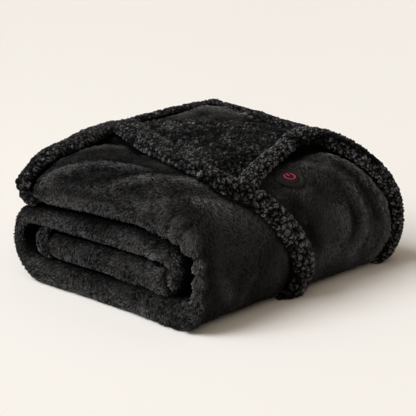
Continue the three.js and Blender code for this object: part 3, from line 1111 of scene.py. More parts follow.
# Painted shade where little light falls, and by what share; a painted highlight, more light than
# elsewhere, where that is below 0.
PAINTED_SHADE_AND_LIGHT = strokes(
    (0.97, 8, 490, 140, 476, 127, 454, 118, 436, 123, 416, 122, 398, 119),
    (0.8, 9, 458, 212, 424, 203, 370, 191, 312, 175, 264, 163, 236, 162),
    (0.8, 9, 250, 340, 242, 356, 238, 372, 234, 390, 226, 406, 212, 416, 196, 426, 178, 430),
    (0.75, 17, 60, 186, 30, 184, 8, 192),
    (0.4, 17, 226, 14, 196, 22, 160, 26, 120, 24),
    (-1.5, 8, 474, 42, 467, 62, 450, 75, 436, 88, 422, 100, 402, 108),
    (-1.6, 16, 436, 50, 406, 62, 380, 80, 344, 84, 304, 80, 286, 78),
    (-0.8, 9, 385, 98, 360, 98, 335, 95, 315, 92),
    (-1.6, 5, 428, 12, 414, 14, 378, 21, 348, 30),
    (-1.0, 6, 292, 29, 274, 38, 255, 48),
    (-1.3, 8, 275, 18, 258, 26, 242, 34),
    (0.5, 9, 328, 1, 310, 5, 298, 8),
    (0.25, 9, 292, 3, 236, 4, 200, 6, 176, 14),
    (-0.45, 15, 205, 46, 190, 68, 176, 88, 160, 106),
    (-0.7, 14, 190, 98, 176, 110, 160, 124),
    (-0.9, 7, 262, 46, 246, 54, 232, 70),
    (0.5, 14, 118, 232, 104, 238, 90, 246),
    (-0.35, 16, 168, 252, 150, 266, 135, 284),
    (-1.2, 7, 204, 388, 190, 394, 174, 395, 151, 397),
    (-0.7, 7, 117, 402, 91, 402, 60, 402, 41, 402),
    (-1.5, 9, 175, 376, 150, 380, 118, 382, 85, 378, 66, 366),
    (0.3, 24, 148, 8, 120, 26, 76, 40),
    (0.14, 16, 214, 300, 196, 340, 178, 372),
    (-0.15, 16, 78, 228, 62, 270, 40, 320),
    (-1.4, 5, 478, 6, 452, 12, 418, 22, 384, 34, 350, 41, 326, 46, 296, 52),
    (-0.9, 5, 346, 8, 318, 20, 280, 34, 258, 54, 236, 74),
    (-0.5, 5, 250, 4, 230, 12, 218, 22, 204, 52),
    (-1.2, 4, 210, 388, 196, 397, 178, 404, 150, 406, 116, 408, 88, 408, 56, 402, 38, 388),
)


@dataclass(frozen=True)
class Gather:
    """Puffs along the inner edge of a bend, with sharp notches at their angles in degrees."""

    centre: Pair
    first_row: int
    last_row: int
    angles: tuple[float, ...]
    depth: float
    reach: float
    outside: float
    puff: float


GATHERS = (
    Gather((129, 82), 43, 62, (126, 104, 80, 56, 23, 4, -19, -35, -50, -66, -84), 13.0, 30.0, 0.6,
           0.66),
    Gather((120, 83), 8, 21, (92, 62, 34, 6, -24, -52, -80), 5.5, 14.0, 0.8, 0.6),
)
# The crease round the core's end: x and z.
CORE_CREASE = table(
    (112, 85), (122, 86), (131, 87), (138, 84), (139, 79), (135, 73), (138, 67), (137, 61),
    (141, 55), (142, 50),
)

# The borders' middle lines: q, y, width and thickness.
RIGHT_BORDER = table(
    (16, 402, 11, 6), (32, 411, 18, 8), (56, 418, 21, 10), (97, 427, 20, 11), (143, 430, 26, 12.5),
    (182, 427, 35, 16), (214, 421, 40, 19), (240, 406, 41, 21), (255, 380, 33, 18),
    (252, 346, 26, 14), (242, 306, 22, 12), (230, 247, 23, 12), (218, 198, 24, 13),
    (208, 164, 26, 13), (203, 150, 26, 13),
)
LEFT_ARM = table(
    (478, 196, 46, 7), (456, 178, 46, 16), (407, 149, 47, 17), (365, 131, 47, 17),
    (324, 117, 45, 17), (278, 105, 42, 17), (241, 103, 39, 17), (216, 109, 38, 18),
    (202, 122, 37, 18), (191, 137, 36, 18), (187, 143, 36, 18),
)
STRIP = table(
    (183, 146, 36, 15), (162, 160, 37, 15), (146, 171, 36, 15), (124, 184, 36, 15),
    (99, 198, 37, 15), (75, 206, 38, 15), (53, 208, 40, 15), (30, 202, 41, 13), (12, 193, 36, 9),
)
BACK_BORDER = table(
    (258, 424, 20, 13), (300, 425, 21, 12), (340, 425, 22, 11), (390, 427, 22, 11),
    (430, 430, 22, 8), (476, 433, 20, 6), (494, 433, 18, 5),
)
# The upper edge of the back rim: y and q.
RIM_EDGE = table(
    (1, 504), (7, 502), (16, 494), (30, 480), (46, 466), (64, 458), (95, 455), (130, 458),
    (155, 462), (185, 466), (215, 474), (255, 478), (345, 478), (432, 478), (441, 480),
)
# The lining's front edge and its back edge: q and y of each.
LINING_EDGE = table(
    (217, 150, 266, 396), (236, 126, 300, 404), (276, 126, 332, 397), (317, 137, 364, 363),
    (357, 149, 394, 329), (395, 166, 430, 274), (438, 190, 458, 222),
)
BUTTON_AT = (193.0, 246.0)  # q and y


def rim_edge(y: Array) -> Array:
    """Returns q at the upper edge of the back rim."""
    return np.interp(y, *RIM_EDGE.T)


def seams(q: Array, y: Array) -> Array:
    """Returns how close the plush is to the edge of a border, 1 at the edge and under it."""
    p = np.stack([q, y], axis=-1)
    close = np.zeros(q.shape)
    for path in (RIGHT_BORDER, LEFT_ARM, STRIP):
        far, along = off_line(p, path[:, :2])
        wide = np.interp(along, np.linspace(0, 1, len(path)), path[:, 2])
        close = np.maximum(close, hump(np.maximum(far - wide / 2 + 1, 0), 3.2))
    under = rim_edge(y) - q - 1
    return np.maximum(close, hump(np.maximum(under, 0), 2.6) * (q > 0))


def lit(q: Array, y: Array) -> Array:
    """Returns the light painted on places on the skin: painted shade in the hollows, painted
    highlights where a share is below 0, and 1 elsewhere.
    """
    p = np.stack([q, y], axis=-1)
    light = np.ones(q.shape)
    for hollow in PAINTED_SHADE_AND_LIGHT:
        far, _ = off_line(p, drawn(hollow.path, 6.0))
        light *= 1 - hollow.amount * hump(far, hollow.width)
    return light


def seat(q: Array, y: Array) -> Array:
    """Returns how the plush slopes under the button and round it."""
    u, v = q - BUTTON_AT[0] - 3, 0.8 * (y - BUTTON_AT[1])
    return (0.25 * v - 0.32 * u) * np.exp(-(((u * u + v * v) / 38.0**2) ** 2))


def covered(q: Array, y: Array) -> Array:
    """Returns where the plush is hidden under the borders, the lining or the button."""
    p = np.stack([q, y], axis=-1)
    hidden = np.hypot(q - BUTTON_AT[0], (y - BUTTON_AT[1]) * 0.8) < 21.5
    for path in (RIGHT_BORDER, LEFT_ARM, STRIP, BACK_BORDER):
        far, _ = off_line(p, path[:, :2])
        hidden |= far < path[:, 2].mean() / 2 - 3
    hidden |= inside(p, np.concatenate([LINING_EDGE[:, :2], LINING_EDGE[::-1, 2:]]))
    return hidden | (q > rim_edge(y) + 14)


# ---- the plush cloth ----
@dataclass(frozen=True)
class PlushShadeAndTone:
    """The painted shade and highlights of the plush, and its random patches of tone; lengths in
    millimetres.
    """

    # Painted shade: the least light that the tucked ends keep.
    darkest: float = 0.05
    # Pleats' puffs painted lighter and their notches darker, and painted shade in the pressed
    # crease.
    pleat: float = 0.11  # for each millimetre that a pleat stands out
    pleat_range: Pair = (0.06, 1.5)
    pressed: float = 0.16
    # Painted shade inside the roll's ends, darker where a face looks up under the layer above it.
    tucked_from: float = 3.0
    tucked_over: float = 7.0
    tucked_side: float = 1.05
    tucked_up: float = 0.6
    # A painted highlight along the near end, painted shade on faces that look up, and a painted
    # highlight on the lip of the front bend.
    brim: float = 0.3
    brim_at: float = 8.0
    brim_spread: float = 120.0
    facing_up: float = 0.45
    wall_edge: float = 1.1
    # Ridges painted lighter and troughs darker, and painted shade beside the borders.
    ridge: float = 0.42
    ridge_most: float = 3.2
    trough: float = 0.26
    seam: float = 0.7
    # Lighter near the floor in the far part; the back painted darker and the front lighter;
    # painted shade on the crown near the near end; a painted highlight on the plush behind the
    # lining.
    far_foot: float = 0.5
    back_and_front: Pair = (0.78, 1.15)
    near_crown: float = 0.3
    behind_lining: float = 1.1
    # Random patches of tone.
    broad_patches: float = 0.7
    small_patches: float = 0.3
    # Painted light on the belly side, a painted highlight on the lip inside the near end, and
    # painted shade under the top there.
    belly: float = 0.9
    mouth_edge: float = 0.9
    mouth_top: float = 0.5


@dataclass
class ClothFace:
    """One face of the cloth as a net of points, with what is known of each of them."""

    side: Side
    points: Array
    out: Array  # the directions away from the cloth
    at: Array  # the number of each row, with its share to the next
    y: Array
    q: Array  # the way up from the floor over the front bend, below 0 elsewhere
    pressed: Array = field(default_factory=lambda: np.zeros(0))
    # How light each point is painted, with the painted shade and highlights of the ends, pleats,
    # folds and hollows.
    tone: Array = field(default_factory=lambda: np.zeros(0))

    @property
    def row(self) -> Array:
        """The row number of each point."""
        return self.at[:, None] + 0 * self.y


@dataclass
class PlushCloth:
    """The big plush cloth, folded over at the near end and rolled, in millimetres."""

    form: RollForm
    skin: Chart
    skin_step: float = 3.2
    turn_step: float = 7.5
    inside_step: float = 12.0
    pleat_step: float = 2.6
    turn_pull: float = 9.0
    turn_sink: float = 4.0
    lip_push: float = 12.0
    lip_sink: float = 4.0
    sag: float = 2.8
    near_stations: int = 24
    far_stations: int = 9
    hidden_stations: int = 26
    station_step: float = 3.9
    thick: float = 5.0
    hidden_floor_gap: float = 2.5
    seam_depth: float = 2.6
    inset: float = 1.6
    end_inset: float = 2.6
    relief_fade: float = 22.0
    crease_press: float = 13.0
    deep_trough: float = -4.5
    line_step: float = 12.0
    flat: Pair = (1.40, 0.92)
    shades: PlushShadeAndTone = PlushShadeAndTone()
    faces: dict[Side, ClothFace] = field(default_factory=dict)

    def row_places(self, side: Side) -> tuple[Array, Array]:
        """Lists the rows of one side.

        Args:
            side: Which face of the strip.

        Returns:
            The rows, and each one's row number with its share to the next.
        """
        rows = self.form.rows(side)
        number = np.arange(len(rows), dtype=float)
        own = np.linalg.norm(np.diff(rows[:, :2], axis=0), axis=1)
        nose = np.linalg.norm(np.diff(rows[:, 2:4], axis=0), axis=1)
        step = np.full(len(own), self.turn_step if side is Side.OUT else self.inside_step)
        if side is Side.OUT:
            step[self.form.wall_from - 1:] = self.skin_step
        for g in GATHERS:
            pleated = slice(g.first_row, g.last_row)
            step[pleated] = np.minimum(step[pleated], self.pleat_step)
        counted = np.concatenate([[0.0], np.cumsum(np.maximum(own, nose) / step)])
        at = np.interp(np.linspace(0, counted[-1], int(counted[-1]) + 1), counted, number)
        at[-1] -= 1e-6
        return smooth_rows(rows, number, at), at

    def way_up(self, row: Array) -> Array:
        """Returns q, the way up from the floor over the front bend, at row numbers."""
        from_start = lengths(self.form.rows(Side.OUT)[:, :2])
        way = np.interp(row, np.arange(len(from_start)), from_start)
        return way - from_start[self.form.wall_from]

    def past_lip(self, row: Array) -> Array:
        """Returns 1 for rows past the foot of the front bend and 0 for the ones before it."""
        return ease((row - self.form.wall_from + 1) / 4)

    def stations(self) -> tuple[Array, Array, Array]:
        """Lists the stations: kind (0 near, 1 middle, 2 far), number and share."""
        near = np.linspace(0.05, np.pi / 2, self.near_stations, endpoint=False)
        mid = np.linspace(0, 1, int((self.form.length - 70) / self.station_step))
        far = np.linspace(np.pi / 2, 0.42, self.far_stations + 1)[1:]
        kind = np.concatenate([np.zeros(len(near)), np.ones(len(mid)), np.full(len(far), 2)])
        number = np.concatenate([near, mid, far])
        share = np.where(kind == 1, 1.0, np.sin(number))
        return kind, number, share

    def net(self, rows: Array, at: Array, thin: float = 0.0) -> tuple[Array, Array]:
        """Places the net of one side.

        Args:
            rows: The strip's rows.
            at: Their row numbers.
            thin: How far the net lies inside the cloth.

        Returns:
            The points, and how far along the plain roll each one is.
        """
        kind, number, share = self.stations()
        if thin:
            pick = np.unique(np.linspace(0, len(kind) - 1, self.hidden_stations).astype(int))
            kind, number, share = kind[pick], number[pick], share[pick]
        near, far = rows[:, 4:5], rows[:, 5:6]
        y_near = near * (1 - np.cos(number))
        y_far = self.form.length - far * (1 - np.cos(number))
        y_mid = lerp(near, self.form.length - far, number)
        y = np.where(kind == 0, y_near, np.where(kind == 1, y_mid, y_far))
        if thin:
            half = np.linalg.norm(rows[:, :2] - rows[:, 2:4], axis=1, keepdims=True)
            share = share * (1 - thin / np.maximum(half, thin * 1.6))
            y = np.minimum(y + thin * ease(1 - y / 60), self.form.length)
        p = self.form.place(rows[:, None, :], y, share + 0 * y)
        return self.draw_in(p, at[:, None], y), y

    def draw_in(self, p: Array, row: Array, y: Array) -> Array:
        """Draws the turn round the core in, so that a dark gap opens at its near end.

        Args:
            p: The points.
            row: Their row numbers.
            y: How far along the roll they are.

        Returns:
            The moved points.
        """
        moved = p.copy()
        x, z = p[..., 0], p[..., 2]
        turn = between(row, 4, 25, 5) * ease((x - 40) / 110)
        close = hump(y, 80)
        left = ease((-20 - x) / 90) * ease((row - 20) / 4)
        lip = self.past_lip(row) * hump(y, 22)
        moved[..., 0] -= self.turn_pull * turn * close
        moved[..., 0] += self.lip_push * lip * ease((62 - row) / 6) * ease((125 - z) / 25)
        moved[..., 2] -= self.sag * close * ease((31 - row) / 4) * ease((z - 34) / 20)
        moved[..., 2] -= self.sag * close * left * ease((z - 85) / 25) * ease((190 - z) / 60)
        moved[..., 2] -= self.turn_sink * turn * close * ease((78 - z) / 25)
        moved[..., 2] -= self.lip_sink * lip * ease((row - 52) / 4) * ease((x - 70) / 60)
        return moved

    def wrinkles(self, q: Array, y: Array) -> Array:
        """Returns the height of the soft ridges and troughs at places on the skin."""
        at = self.skin.spread(q, y)
        height = np.zeros(q.shape)
        for crease in CREASES:
            path = drawn(crease.path, self.line_step)
            line = self.skin.spread(path[:, 0], path[:, 1])
            low = line.min(0) - 3 * crease.width
            high = line.max(0) + 3 * crease.width
            close = ((at > low) & (at < high)).all(-1)
            far, along = off_line(at[close], line)
            taper = np.sin(np.pi * np.clip(along * 0.96 + 0.02, 0, 1)) ** 0.6
            height[close] += crease.amount * taper * hump(far, crease.width)
        return height

    def sunk(self, q: Array, y: Array) -> Array:
        """Returns how far the hidden face sinks to stay below the deep troughs."""
        p = np.stack([q, y], axis=-1)
        depth = np.zeros(q.shape)
        for crease in CREASES:
            if crease.amount < self.deep_trough:
                far, _ = off_line(p, drawn(crease.path, self.line_step))
                below = 1.1 * crease.amount * hump(far, crease.width + 14)
                depth = np.maximum(depth, -below * (q > 0))
        return depth

    def gather(self, face: ClothFace) -> Array:
        """Finds how the pleats at the bends raise and sink the cloth.

        Args:
            face: The face that they are on.

        Returns:
            The heights.
        """
        p, row, y = face.points, face.row, face.y
        out_side = face.side is Side.OUT
        height = np.zeros(row.shape)
        for g in GATHERS:
            x, z = p[..., 0] - g.centre[0], p[..., 2] - g.centre[1]
            angle = np.degrees(np.arctan2(z, x)) + 2.0 * swell(p, 14.0, 31)
            notches = np.array(sorted(g.angles), float)
            number = np.interp(angle, notches, np.arange(len(notches)), -0.5, len(notches) - 0.5)
            puffed = np.sqrt(np.clip(1 - (2 * (number % 1.0) - 1) ** 2, 0, 1))
            rows_in = between(row, g.first_row - 2, g.last_row + 2, 3)
            fade = np.exp(-((y / (g.reach * (0.8 if out_side else 1.3))) ** 1.4))
            strength = g.depth * (g.outside if out_side else 1.0)
            height += strength * rows_in * fade * (puffed - g.puff)
        return height

    def tuck(self, face: ClothFace) -> Array:
        """Finds how far the crease round the core's end is pressed in.

        Args:
            face: The face that it is on.

        Returns:
            The depths, below 0 on the ridge beside the crease.
        """
        x, z = face.points[..., 0], face.points[..., 2]
        line = drawn(CORE_CREASE, 2.0)
        far, along = off_line(face.points[..., [0, 2]], line)
        right = ease((x - np.interp(z, line[::-1, 1], line[::-1, 0]) + 1) / 3)
        ridge = (2.5 + 3.5 * right) * hump(far - 8.5, 4)
        press = self.crease_press * hump(far, 4.2) - ridge
        looks_near = ease((-face.out[..., 1] - 0.1) / 0.5)
        rows_in = between(face.row, 2, 26, 3)
        return press * hump(face.y, 16) * (1 - 0.3 * along) * rows_in * looks_near

    def relief(self, p: Array, weight: Array) -> Array:
        """Returns the cloth's own uneven height at points."""
        soft = 1.1 * swell(p, 46.0, 3) + 0.8 * swell(p, 19.0, 5) + 0.5 * swell(p, 8.5, 8)
        return soft * weight

    def end_tone(self, face: ClothFace, pleat: Array, on_skin: Array) -> Array:
        """Paints shade and highlights into the cloth's tone at its ends and in its pleats.

        Args:
            face: The face.
            pleat: How far its pleats stand out.
            on_skin: 1 on the roll's outer skin, 0 in its hollows.

        Returns:
            The tones.
        """
        t, y, up = self.shades, face.y, face.out[..., 2]
        brink = np.minimum(y, self.form.length - y)
        tucked = hump(np.maximum(brink - t.tucked_from, 0), t.tucked_over)
        tucked = tucked * (t.tucked_side - t.tucked_up * up)
        brim = t.brim * np.exp(-((y - t.brim_at) ** 2) / t.brim_spread)
        edge = 1 + brim - t.facing_up * np.maximum(up, 0)
        tone = np.clip(1 + t.pleat * pleat, *t.pleat_range)
        tone = tone * lerp(np.maximum(tucked, t.darkest), edge, on_skin)
        tone *= np.exp(-t.pressed * np.maximum(face.pressed, 0))
        return tone * (1 + t.wall_edge * hump(y - 3, 3.2) * self.past_lip(face.row))

    def skin_tone(self, face: ClothFace, raised: Array, seam: Array) -> Array:
        """Finds the skin's painted shade and highlights, and its random patches, beside what its
        ends and pleats make of it.

        Args:
            face: The outer face.
            raised: The height of its ridges and troughs.
            seam: How close it is to a border.

        Returns:
            What its tone is multiplied by.
        """
        t, p, q, y = self.shades, face.points, face.q, face.y
        light = 1 + t.far_foot * ease((110 - p[..., 2]) / 70) * ease((y - 230) / 40)
        light *= lerp(*t.back_and_front, ease((p[..., 0] + 60) / 160))
        light *= 1 - t.near_crown * ease((q - 190) / 60) * ease((110 - y) / 50)
        behind = ease((y - np.interp(q, *LINING_EDGE.T[2:]) + 14) / 24)
        behind = behind * ease((q - 250) / 40) * np.maximum(face.out[..., 2], 0)
        light += t.behind_lining * behind
        patches = t.broad_patches * swell(p, 58.0, 61) + t.small_patches * swell(p, 22.0, 62)
        light *= np.exp(patches)
        # Ridges painted lighter and troughs darker, then painted shade beside the borders and the
        # painted light of the hollows.
        folds = np.where(raised > 0, 1 + t.ridge * raised, np.exp(t.trough * raised))
        return np.minimum(folds, t.ridge_most) * (1 - t.seam * seam) * light * lit(q, y)

    def shape(self, face: ClothFace) -> None:
        """Raises and sinks one face's points and paints shade and highlights into their tones.

        Args:
            face: The face, as the plain roll holds it.
        """
        t, p, n, q, y = self.shades, face.points, face.out, face.q, face.y
        outside = face.side is Side.OUT
        end = np.exp(-np.minimum(y, self.form.length - y) / self.relief_fade)
        on_skin = ease((face.row - self.form.wall_from + 3) / 4) * outside
        looks_along = ease((np.abs(n[..., 1]) - 0.1) / 0.5)
        height = self.relief(p, np.maximum(0.25 + 0.75 * end, on_skin))
        height -= lerp(self.inset, self.end_inset, looks_along)
        face.pressed = self.tuck(face)
        pleat = self.gather(face) - face.pressed
        face.tone = self.end_tone(face, pleat, on_skin)
        if outside:
            raised = self.wrinkles(np.maximum(q, 0), y) * (q > 0)
            # Near the borders the plush dips, and skin_tone paints shade there.
            seam = seams(q, y)
            height = height + raised + seat(q, y) - self.seam_depth * seam
            face.tone = face.tone * self.skin_tone(face, raised, seam)
            # Painted light on the belly side of the roll.
            belly = ease((-n[..., 0] - 0.1) / 0.3) * ease((-112 - p[..., 0]) / 14)
            belly = t.belly * belly * ease((y - 14) / 16) * (q <= 0)
            face.tone = np.maximum(face.tone, belly)
        else:
            height = np.minimum(height, 2 * end - self.inset)
            # A painted highlight on the lip inside the near end, and painted shade under the top
            # there.
            lip = self.past_lip(face.row)
            under_top = hump(p[..., 0] - 78, 34) * (p[..., 2] > 125)
            face.tone = face.tone * (1 + t.mouth_edge * lip * hump(y - 6, 3))
            face.tone *= 1 - t.mouth_top * lip * under_top
        face.points = p + n * (height + pleat)[..., None]
        face.points[..., 2] = np.maximum(face.points[..., 2], FLOOR_GAP)

    def build(self) -> Piece:
        """Builds the cloth as one thin closed sheet and returns it."""
        plain = []
        for side in Side:
            rows, at = self.row_places(side)
            plain.append((side, at, *self.net(rows, at)))
        both = net_normals(np.concatenate([plain[0][2], plain[1][2][::-1]]), True)
        split = len(plain[0][1])
        sew = Sewing()
        ids = []
        for (side, at, p, y), normal in zip(plain, (both[:split], both[split:][::-1])):
            face = ClothFace(side, p, normal, at, y, self.way_up(at[:, None] + 0 * y))
            self.shape(face)
            self.faces[side] = face
            ids.append(sew.add(face.points, face.tone))
        out_at, in_at = plain[0][1], plain[1][1]
        sew.grid(np.concatenate([ids[0], ids[1][::-1]]), (0.0, 0.93), wrap=True)
        sew.zip(ids[0][:, 0], out_at, ids[1][:, 0], in_at, (0.935, 0.94))
        self.line_inside(sew, ids, (out_at, in_at))
        return sew.object("plush_cloth")

    def line_inside(self, sew: Sewing, ids: list[Array], at: tuple[Array, Array]) -> None:
        """Adds the hidden face of the cloth and sews it on at the far edge.

        Args:
            sew: The mesh so far.
            ids: Numbers of the points of the two outer faces.
            at: The row number of each of their rows.
        """
        hidden = []
        for side in Side:
            rows = self.form.rows(side)
            number = np.arange(len(rows), dtype=float)
            p, y = self.net(rows, number, self.thick)
            if side is Side.OUT:
                q = self.way_up(number)[:, None] + 0 * y
                p -= self.skin.normal(np.maximum(q, 0), y) * self.sunk(q, y)[..., None]
            p[..., 2] = np.maximum(p[..., 2], self.hidden_floor_gap)
            hidden.append(sew.add(p))
        ring = np.concatenate([hidden[0], hidden[1][::-1]])
        sew.grid(ring[::-1], (0.95, 0.97), wrap=True)
        sew.zip(hidden[1][:, 0], number, hidden[0][:, 0], number, (0.945, 0.948))
        first, second = ids[0][:, -1], ids[1][::-1, -1]
        last = len(number) - 1.0
        loop = np.concatenate([first, second, first[:1]])
        way = np.concatenate([at[0], 2 * last + 1 - at[1][::-1], [2 * last + 2]])
        inner = np.concatenate([hidden[0][:, -1], hidden[1][::-1, -1], hidden[0][:1, -1]])
        inner_way = np.concatenate([number, last + 1 + number, [2 * last + 2]])
        sew.zip(inner, inner_way, loop, way, (0.975, 0.985))


# ---- the pile ----
@dataclass(frozen=True)
class PileZone:
    """Where tufts of pile stand and what they are like, in millimetres."""

    name: str
    spacing: float
    locks: int
    length: float
    width: float
    tilt: float
    lay: Place
    swirl: float
    fine: float = 0.25
    contrast: float = 0.24
    # How light the zone is painted, lighter or darker by how light falls on its part of the cloth,
    # and how sharply its locks get painted shade at the root and light at the tip.
    light: float = 0.62
    crisp: float = 1.0
    limit: int = 47000


@dataclass
class Net:
    """A net of points on the cloth, with directions and tones that carry the painted shade and
    highlights, and what is wanted of it.
    """

    points: Array
    out: Array
    tone: Array
    wanted: Array


@dataclass
class Pile:
    """Small closed locks of plush pile in tufts, joined into one mesh for each zone."""

    cloth: PlushCloth
    seed: int = 11
    stray_turn: float = 0.30  # in radians
    stray_rise: float = 0.12
    dim: float = 0.625
    tuft_spread: float = 0.62
    rooted: float = 0.9
    floor_gap: float = 0.3
    soft_ends: tuple[float, ...] = (0.42, 0.42, 0.5, 0.6)  # painted light at a lock's four corners: painted shade at the root, a lighter tip
    crisp_ends: tuple[float, ...] = (0.08, 0.08, 0.24, 1.55)

    def sample(self, nets: Sequence[Net], zone: PileZone) -> Array:
        """Picks places for the tufts of a zone.

        Args:
            nets: The nets that they stand on.
            zone: The kind of pile.

        Returns:
            For each tuft its place, the direction away, and its tone.
        """
        rng = np.random.default_rng(self.seed + len(zone.name))
        areas = []
        for net in nets:
            p = net.points
            a, b, c, d = p[:-1, :-1], p[1:, :-1], p[1:, 1:], p[:-1, 1:]
            areas.append(np.linalg.norm(np.cross(c - a, d - b), axis=-1) / 2 * net.wanted)
        whole = sum(area.sum() for area in areas)
        total = min(whole / zone.spacing**2, zone.limit // zone.locks)
        found = []
        for net, area in zip(nets, areas):
            share = area.ravel()
            count = int(total * share.sum() / whole)
            face = np.searchsorted(np.cumsum(share), rng.uniform(0, share.sum(), count))
            i, j = np.unravel_index(np.minimum(face, len(share) - 1), area.shape)
            s, t = rng.uniform(0, 1, (2, count, 1))
            all_ = np.concatenate([net.points, net.out, net.tone[..., None]], axis=-1)
            near = lerp(all_[i, j], all_[i + 1, j], s)
            far = lerp(all_[i, j + 1], all_[i + 1, j + 1], s)
            found.append(lerp(near, far, t))
        return np.concatenate(found)

    def tufts(self, spots: Array, zone: PileZone) -> Piece:
        """Builds the locks of a zone.

        Args:
            spots: The tufts' places, directions and tones.
            zone: The kind of pile.

        Returns:
            The joined mesh.
        """
        rng = np.random.default_rng(self.seed * 7 + len(zone.name))
        spot, out, tone = spots[:, :3], unit(spots[:, 3:6]), spots[:, 6]
        side = unit(np.cross(out, np.array(zone.lay) + 0 * spot))
        turn = zone.swirl * (swell(spot, 30.0, 21) + 0.6 * swell(spot, 11.0, 22))
        turn = (turn + rng.normal(0, self.stray_turn, len(spot)))[:, None]
        flow = np.cos(turn) * np.cross(side, out) + np.sin(turn) * side
        rise = np.radians(zone.tilt * (1 + 0.4 * swell(spot, 8.0, 23)))[:, None]
        rise = np.clip(rise + rng.normal(0, self.stray_rise, (len(spot), 1)), 0.08, 1.2)
        size = zone.length * rng.uniform(0.75, 1.25, (len(spot), 1))
        tip = spot + size * (np.cos(rise) * flow + np.sin(rise) * out)
        shade = zone.light + zone.contrast * (
            rng.normal(0, 0.85, len(spot)) + 0.9 * swell(spot, 7.0, 25)
            + 0.9 * swell(spot, 40.0, 26)
        )
        # The tuft's random tone, times the zone's painted light and the painted shade and
        # highlights carried from the cloth.
        shade = np.clip(self.dim * shade * tone, 0.02, 1.0)
        corner, one = self.locks(rng, zone, (spot, out, flow, tip))
        own = shade[one] * rng.uniform(1 - zone.fine, 1 + zone.fine, len(one))
        ends = lerp(np.array(self.soft_ends), np.array(self.crisp_ends), zone.crisp)
        return self.joined(zone.name, corner, np.clip(own[:, None] * ends, 0, 1))

    def locks(
        self, rng: np.random.Generator, zone: PileZone, tufts: tuple[Array, ...]
    ) -> tuple[Array, Array]:
        """Places the corners of each tuft's locks.

        Args:
            rng: Where the random numbers come from.
            zone: The kind of pile.
            tufts: The tufts' feet, directions, the ways they lie, and their tips.

        Returns:
            Four corners for each lock, and the number of its tuft.
        """
        spot, out, flow, tip = tufts
        one = np.repeat(np.arange(len(spot)), zone.locks)
        count = len(one)
        out, flow, across = out[one], flow[one], np.cross(out, flow)[one]
        away = self.tuft_spread * zone.spacing * np.sqrt(rng.uniform(0, 1, (count, 1)))
        angle = rng.uniform(0, 2 * np.pi, (count, 1))
        offset = away * (0.5 * np.cos(angle) * across + 1.35 * np.sin(angle) * flow)
        half = 0.5 * zone.width * rng.uniform(0.7, 1.3, (count, 1))
        foot = spot[one] + offset - self.rooted * out
        end = tip[one] + 0.35 * offset + rng.normal(0, 0.35, (count, 3))
        third = foot + 1.4 * half * out - 0.3 * half * flow
        wide = half * across
        corner = np.stack([foot - wide, foot + wide, third, end], axis=1)
        corner[..., 2] = np.maximum(corner[..., 2], self.floor_gap)
        e = corner[:, 1:] - corner[:, :1]
        inward = np.einsum("ij,ij->i", np.cross(e[:, 0], e[:, 1]), e[:, 2]) < 0
        corner[inward, 0], corner[inward, 1] = corner[inward, 1], corner[inward, 0].copy()
        return corner, one

    @staticmethod
    def joined(name: str, corner: Array, light: Array) -> Piece:
        """Joins locks of four corners each into one mesh.

        Args:
            name: The piece's name.
            corner: The four corners of each lock.
            light: How light each corner is.

        Returns:
            The joined mesh.
        """
        sew = Sewing()
        index = sew.add(corner, light)
        trio = np.array([[0, 2, 1], [0, 1, 3], [1, 2, 3], [2, 0, 3]])
        sew.faces.append(index[:, trio].reshape(-1, 3))
        cells = int(math.ceil(math.sqrt(len(corner))))
        cell = np.stack(np.divmod(np.arange(len(corner)), cells), axis=-1) + 0.1
        shape = np.array([[0, 0], [0.8, 0], [0.4, 0.3], [0.4, 0.8]])
        layout = (cell[:, None, :] + shape) / cells
        sew.maps.append(layout[:, trio].reshape(-1, 3, 2))
        return sew.object(name, smooth=False)

    def build(self) -> list[Piece]:
        """Builds every zone of pile and returns the pieces."""
        out, into = self.cloth.faces[Side.OUT], self.cloth.faces[Side.IN]
        q, y = out.q[:-1, :-1], out.y[:-1, :-1]
        facing, x = out.out[:-1, :-1], out.points[:-1, :-1, 0]
        row = into.row[:-1, :-1]
        station = np.arange(row.shape[1]) + 0 * row
        bare = ~covered(q, y)
        end_face = ease((-facing[..., 1] - 0.12) / 0.3) * (y < 70)
        skin = (q > 0) & bare & (facing[..., 2] > -0.8)
        front = skin & (facing[..., 0] > 0.25)
        above = skin & ~front
        far_face = y > self.cloth.form.length - 40
        belly = (q <= 0) & (facing[..., 0] < -0.15) & (x < -120) & (y >= 20)

        def on(face: ClothFace, wanted: Array) -> Net:
            """Returns a face's net with what is wanted of it outside the crease."""
            free = 1 - np.clip(face.pressed[:-1, :-1] / 2, 0, 1)
            return Net(face.points, face.out, face.tone, wanted * free)

        ends = PileZone("pile_bend", 2.5, 6, 3.4, 1.25, 26, (-0.42, 0.0, -0.9), 1.0, fine=0.3)
        skins = PileZone("pile_front", 3.3, 4, 4.2, 1.3, 14, (0.0, 0.15, -1.0), 1.0, contrast=0.06)
        back = PileZone("pile_back", 5.0, 8, 7.0, 1.8, 26, (0.2, 0.1, -1.0), 0.9, fine=0.3)
        near_row = station < 22
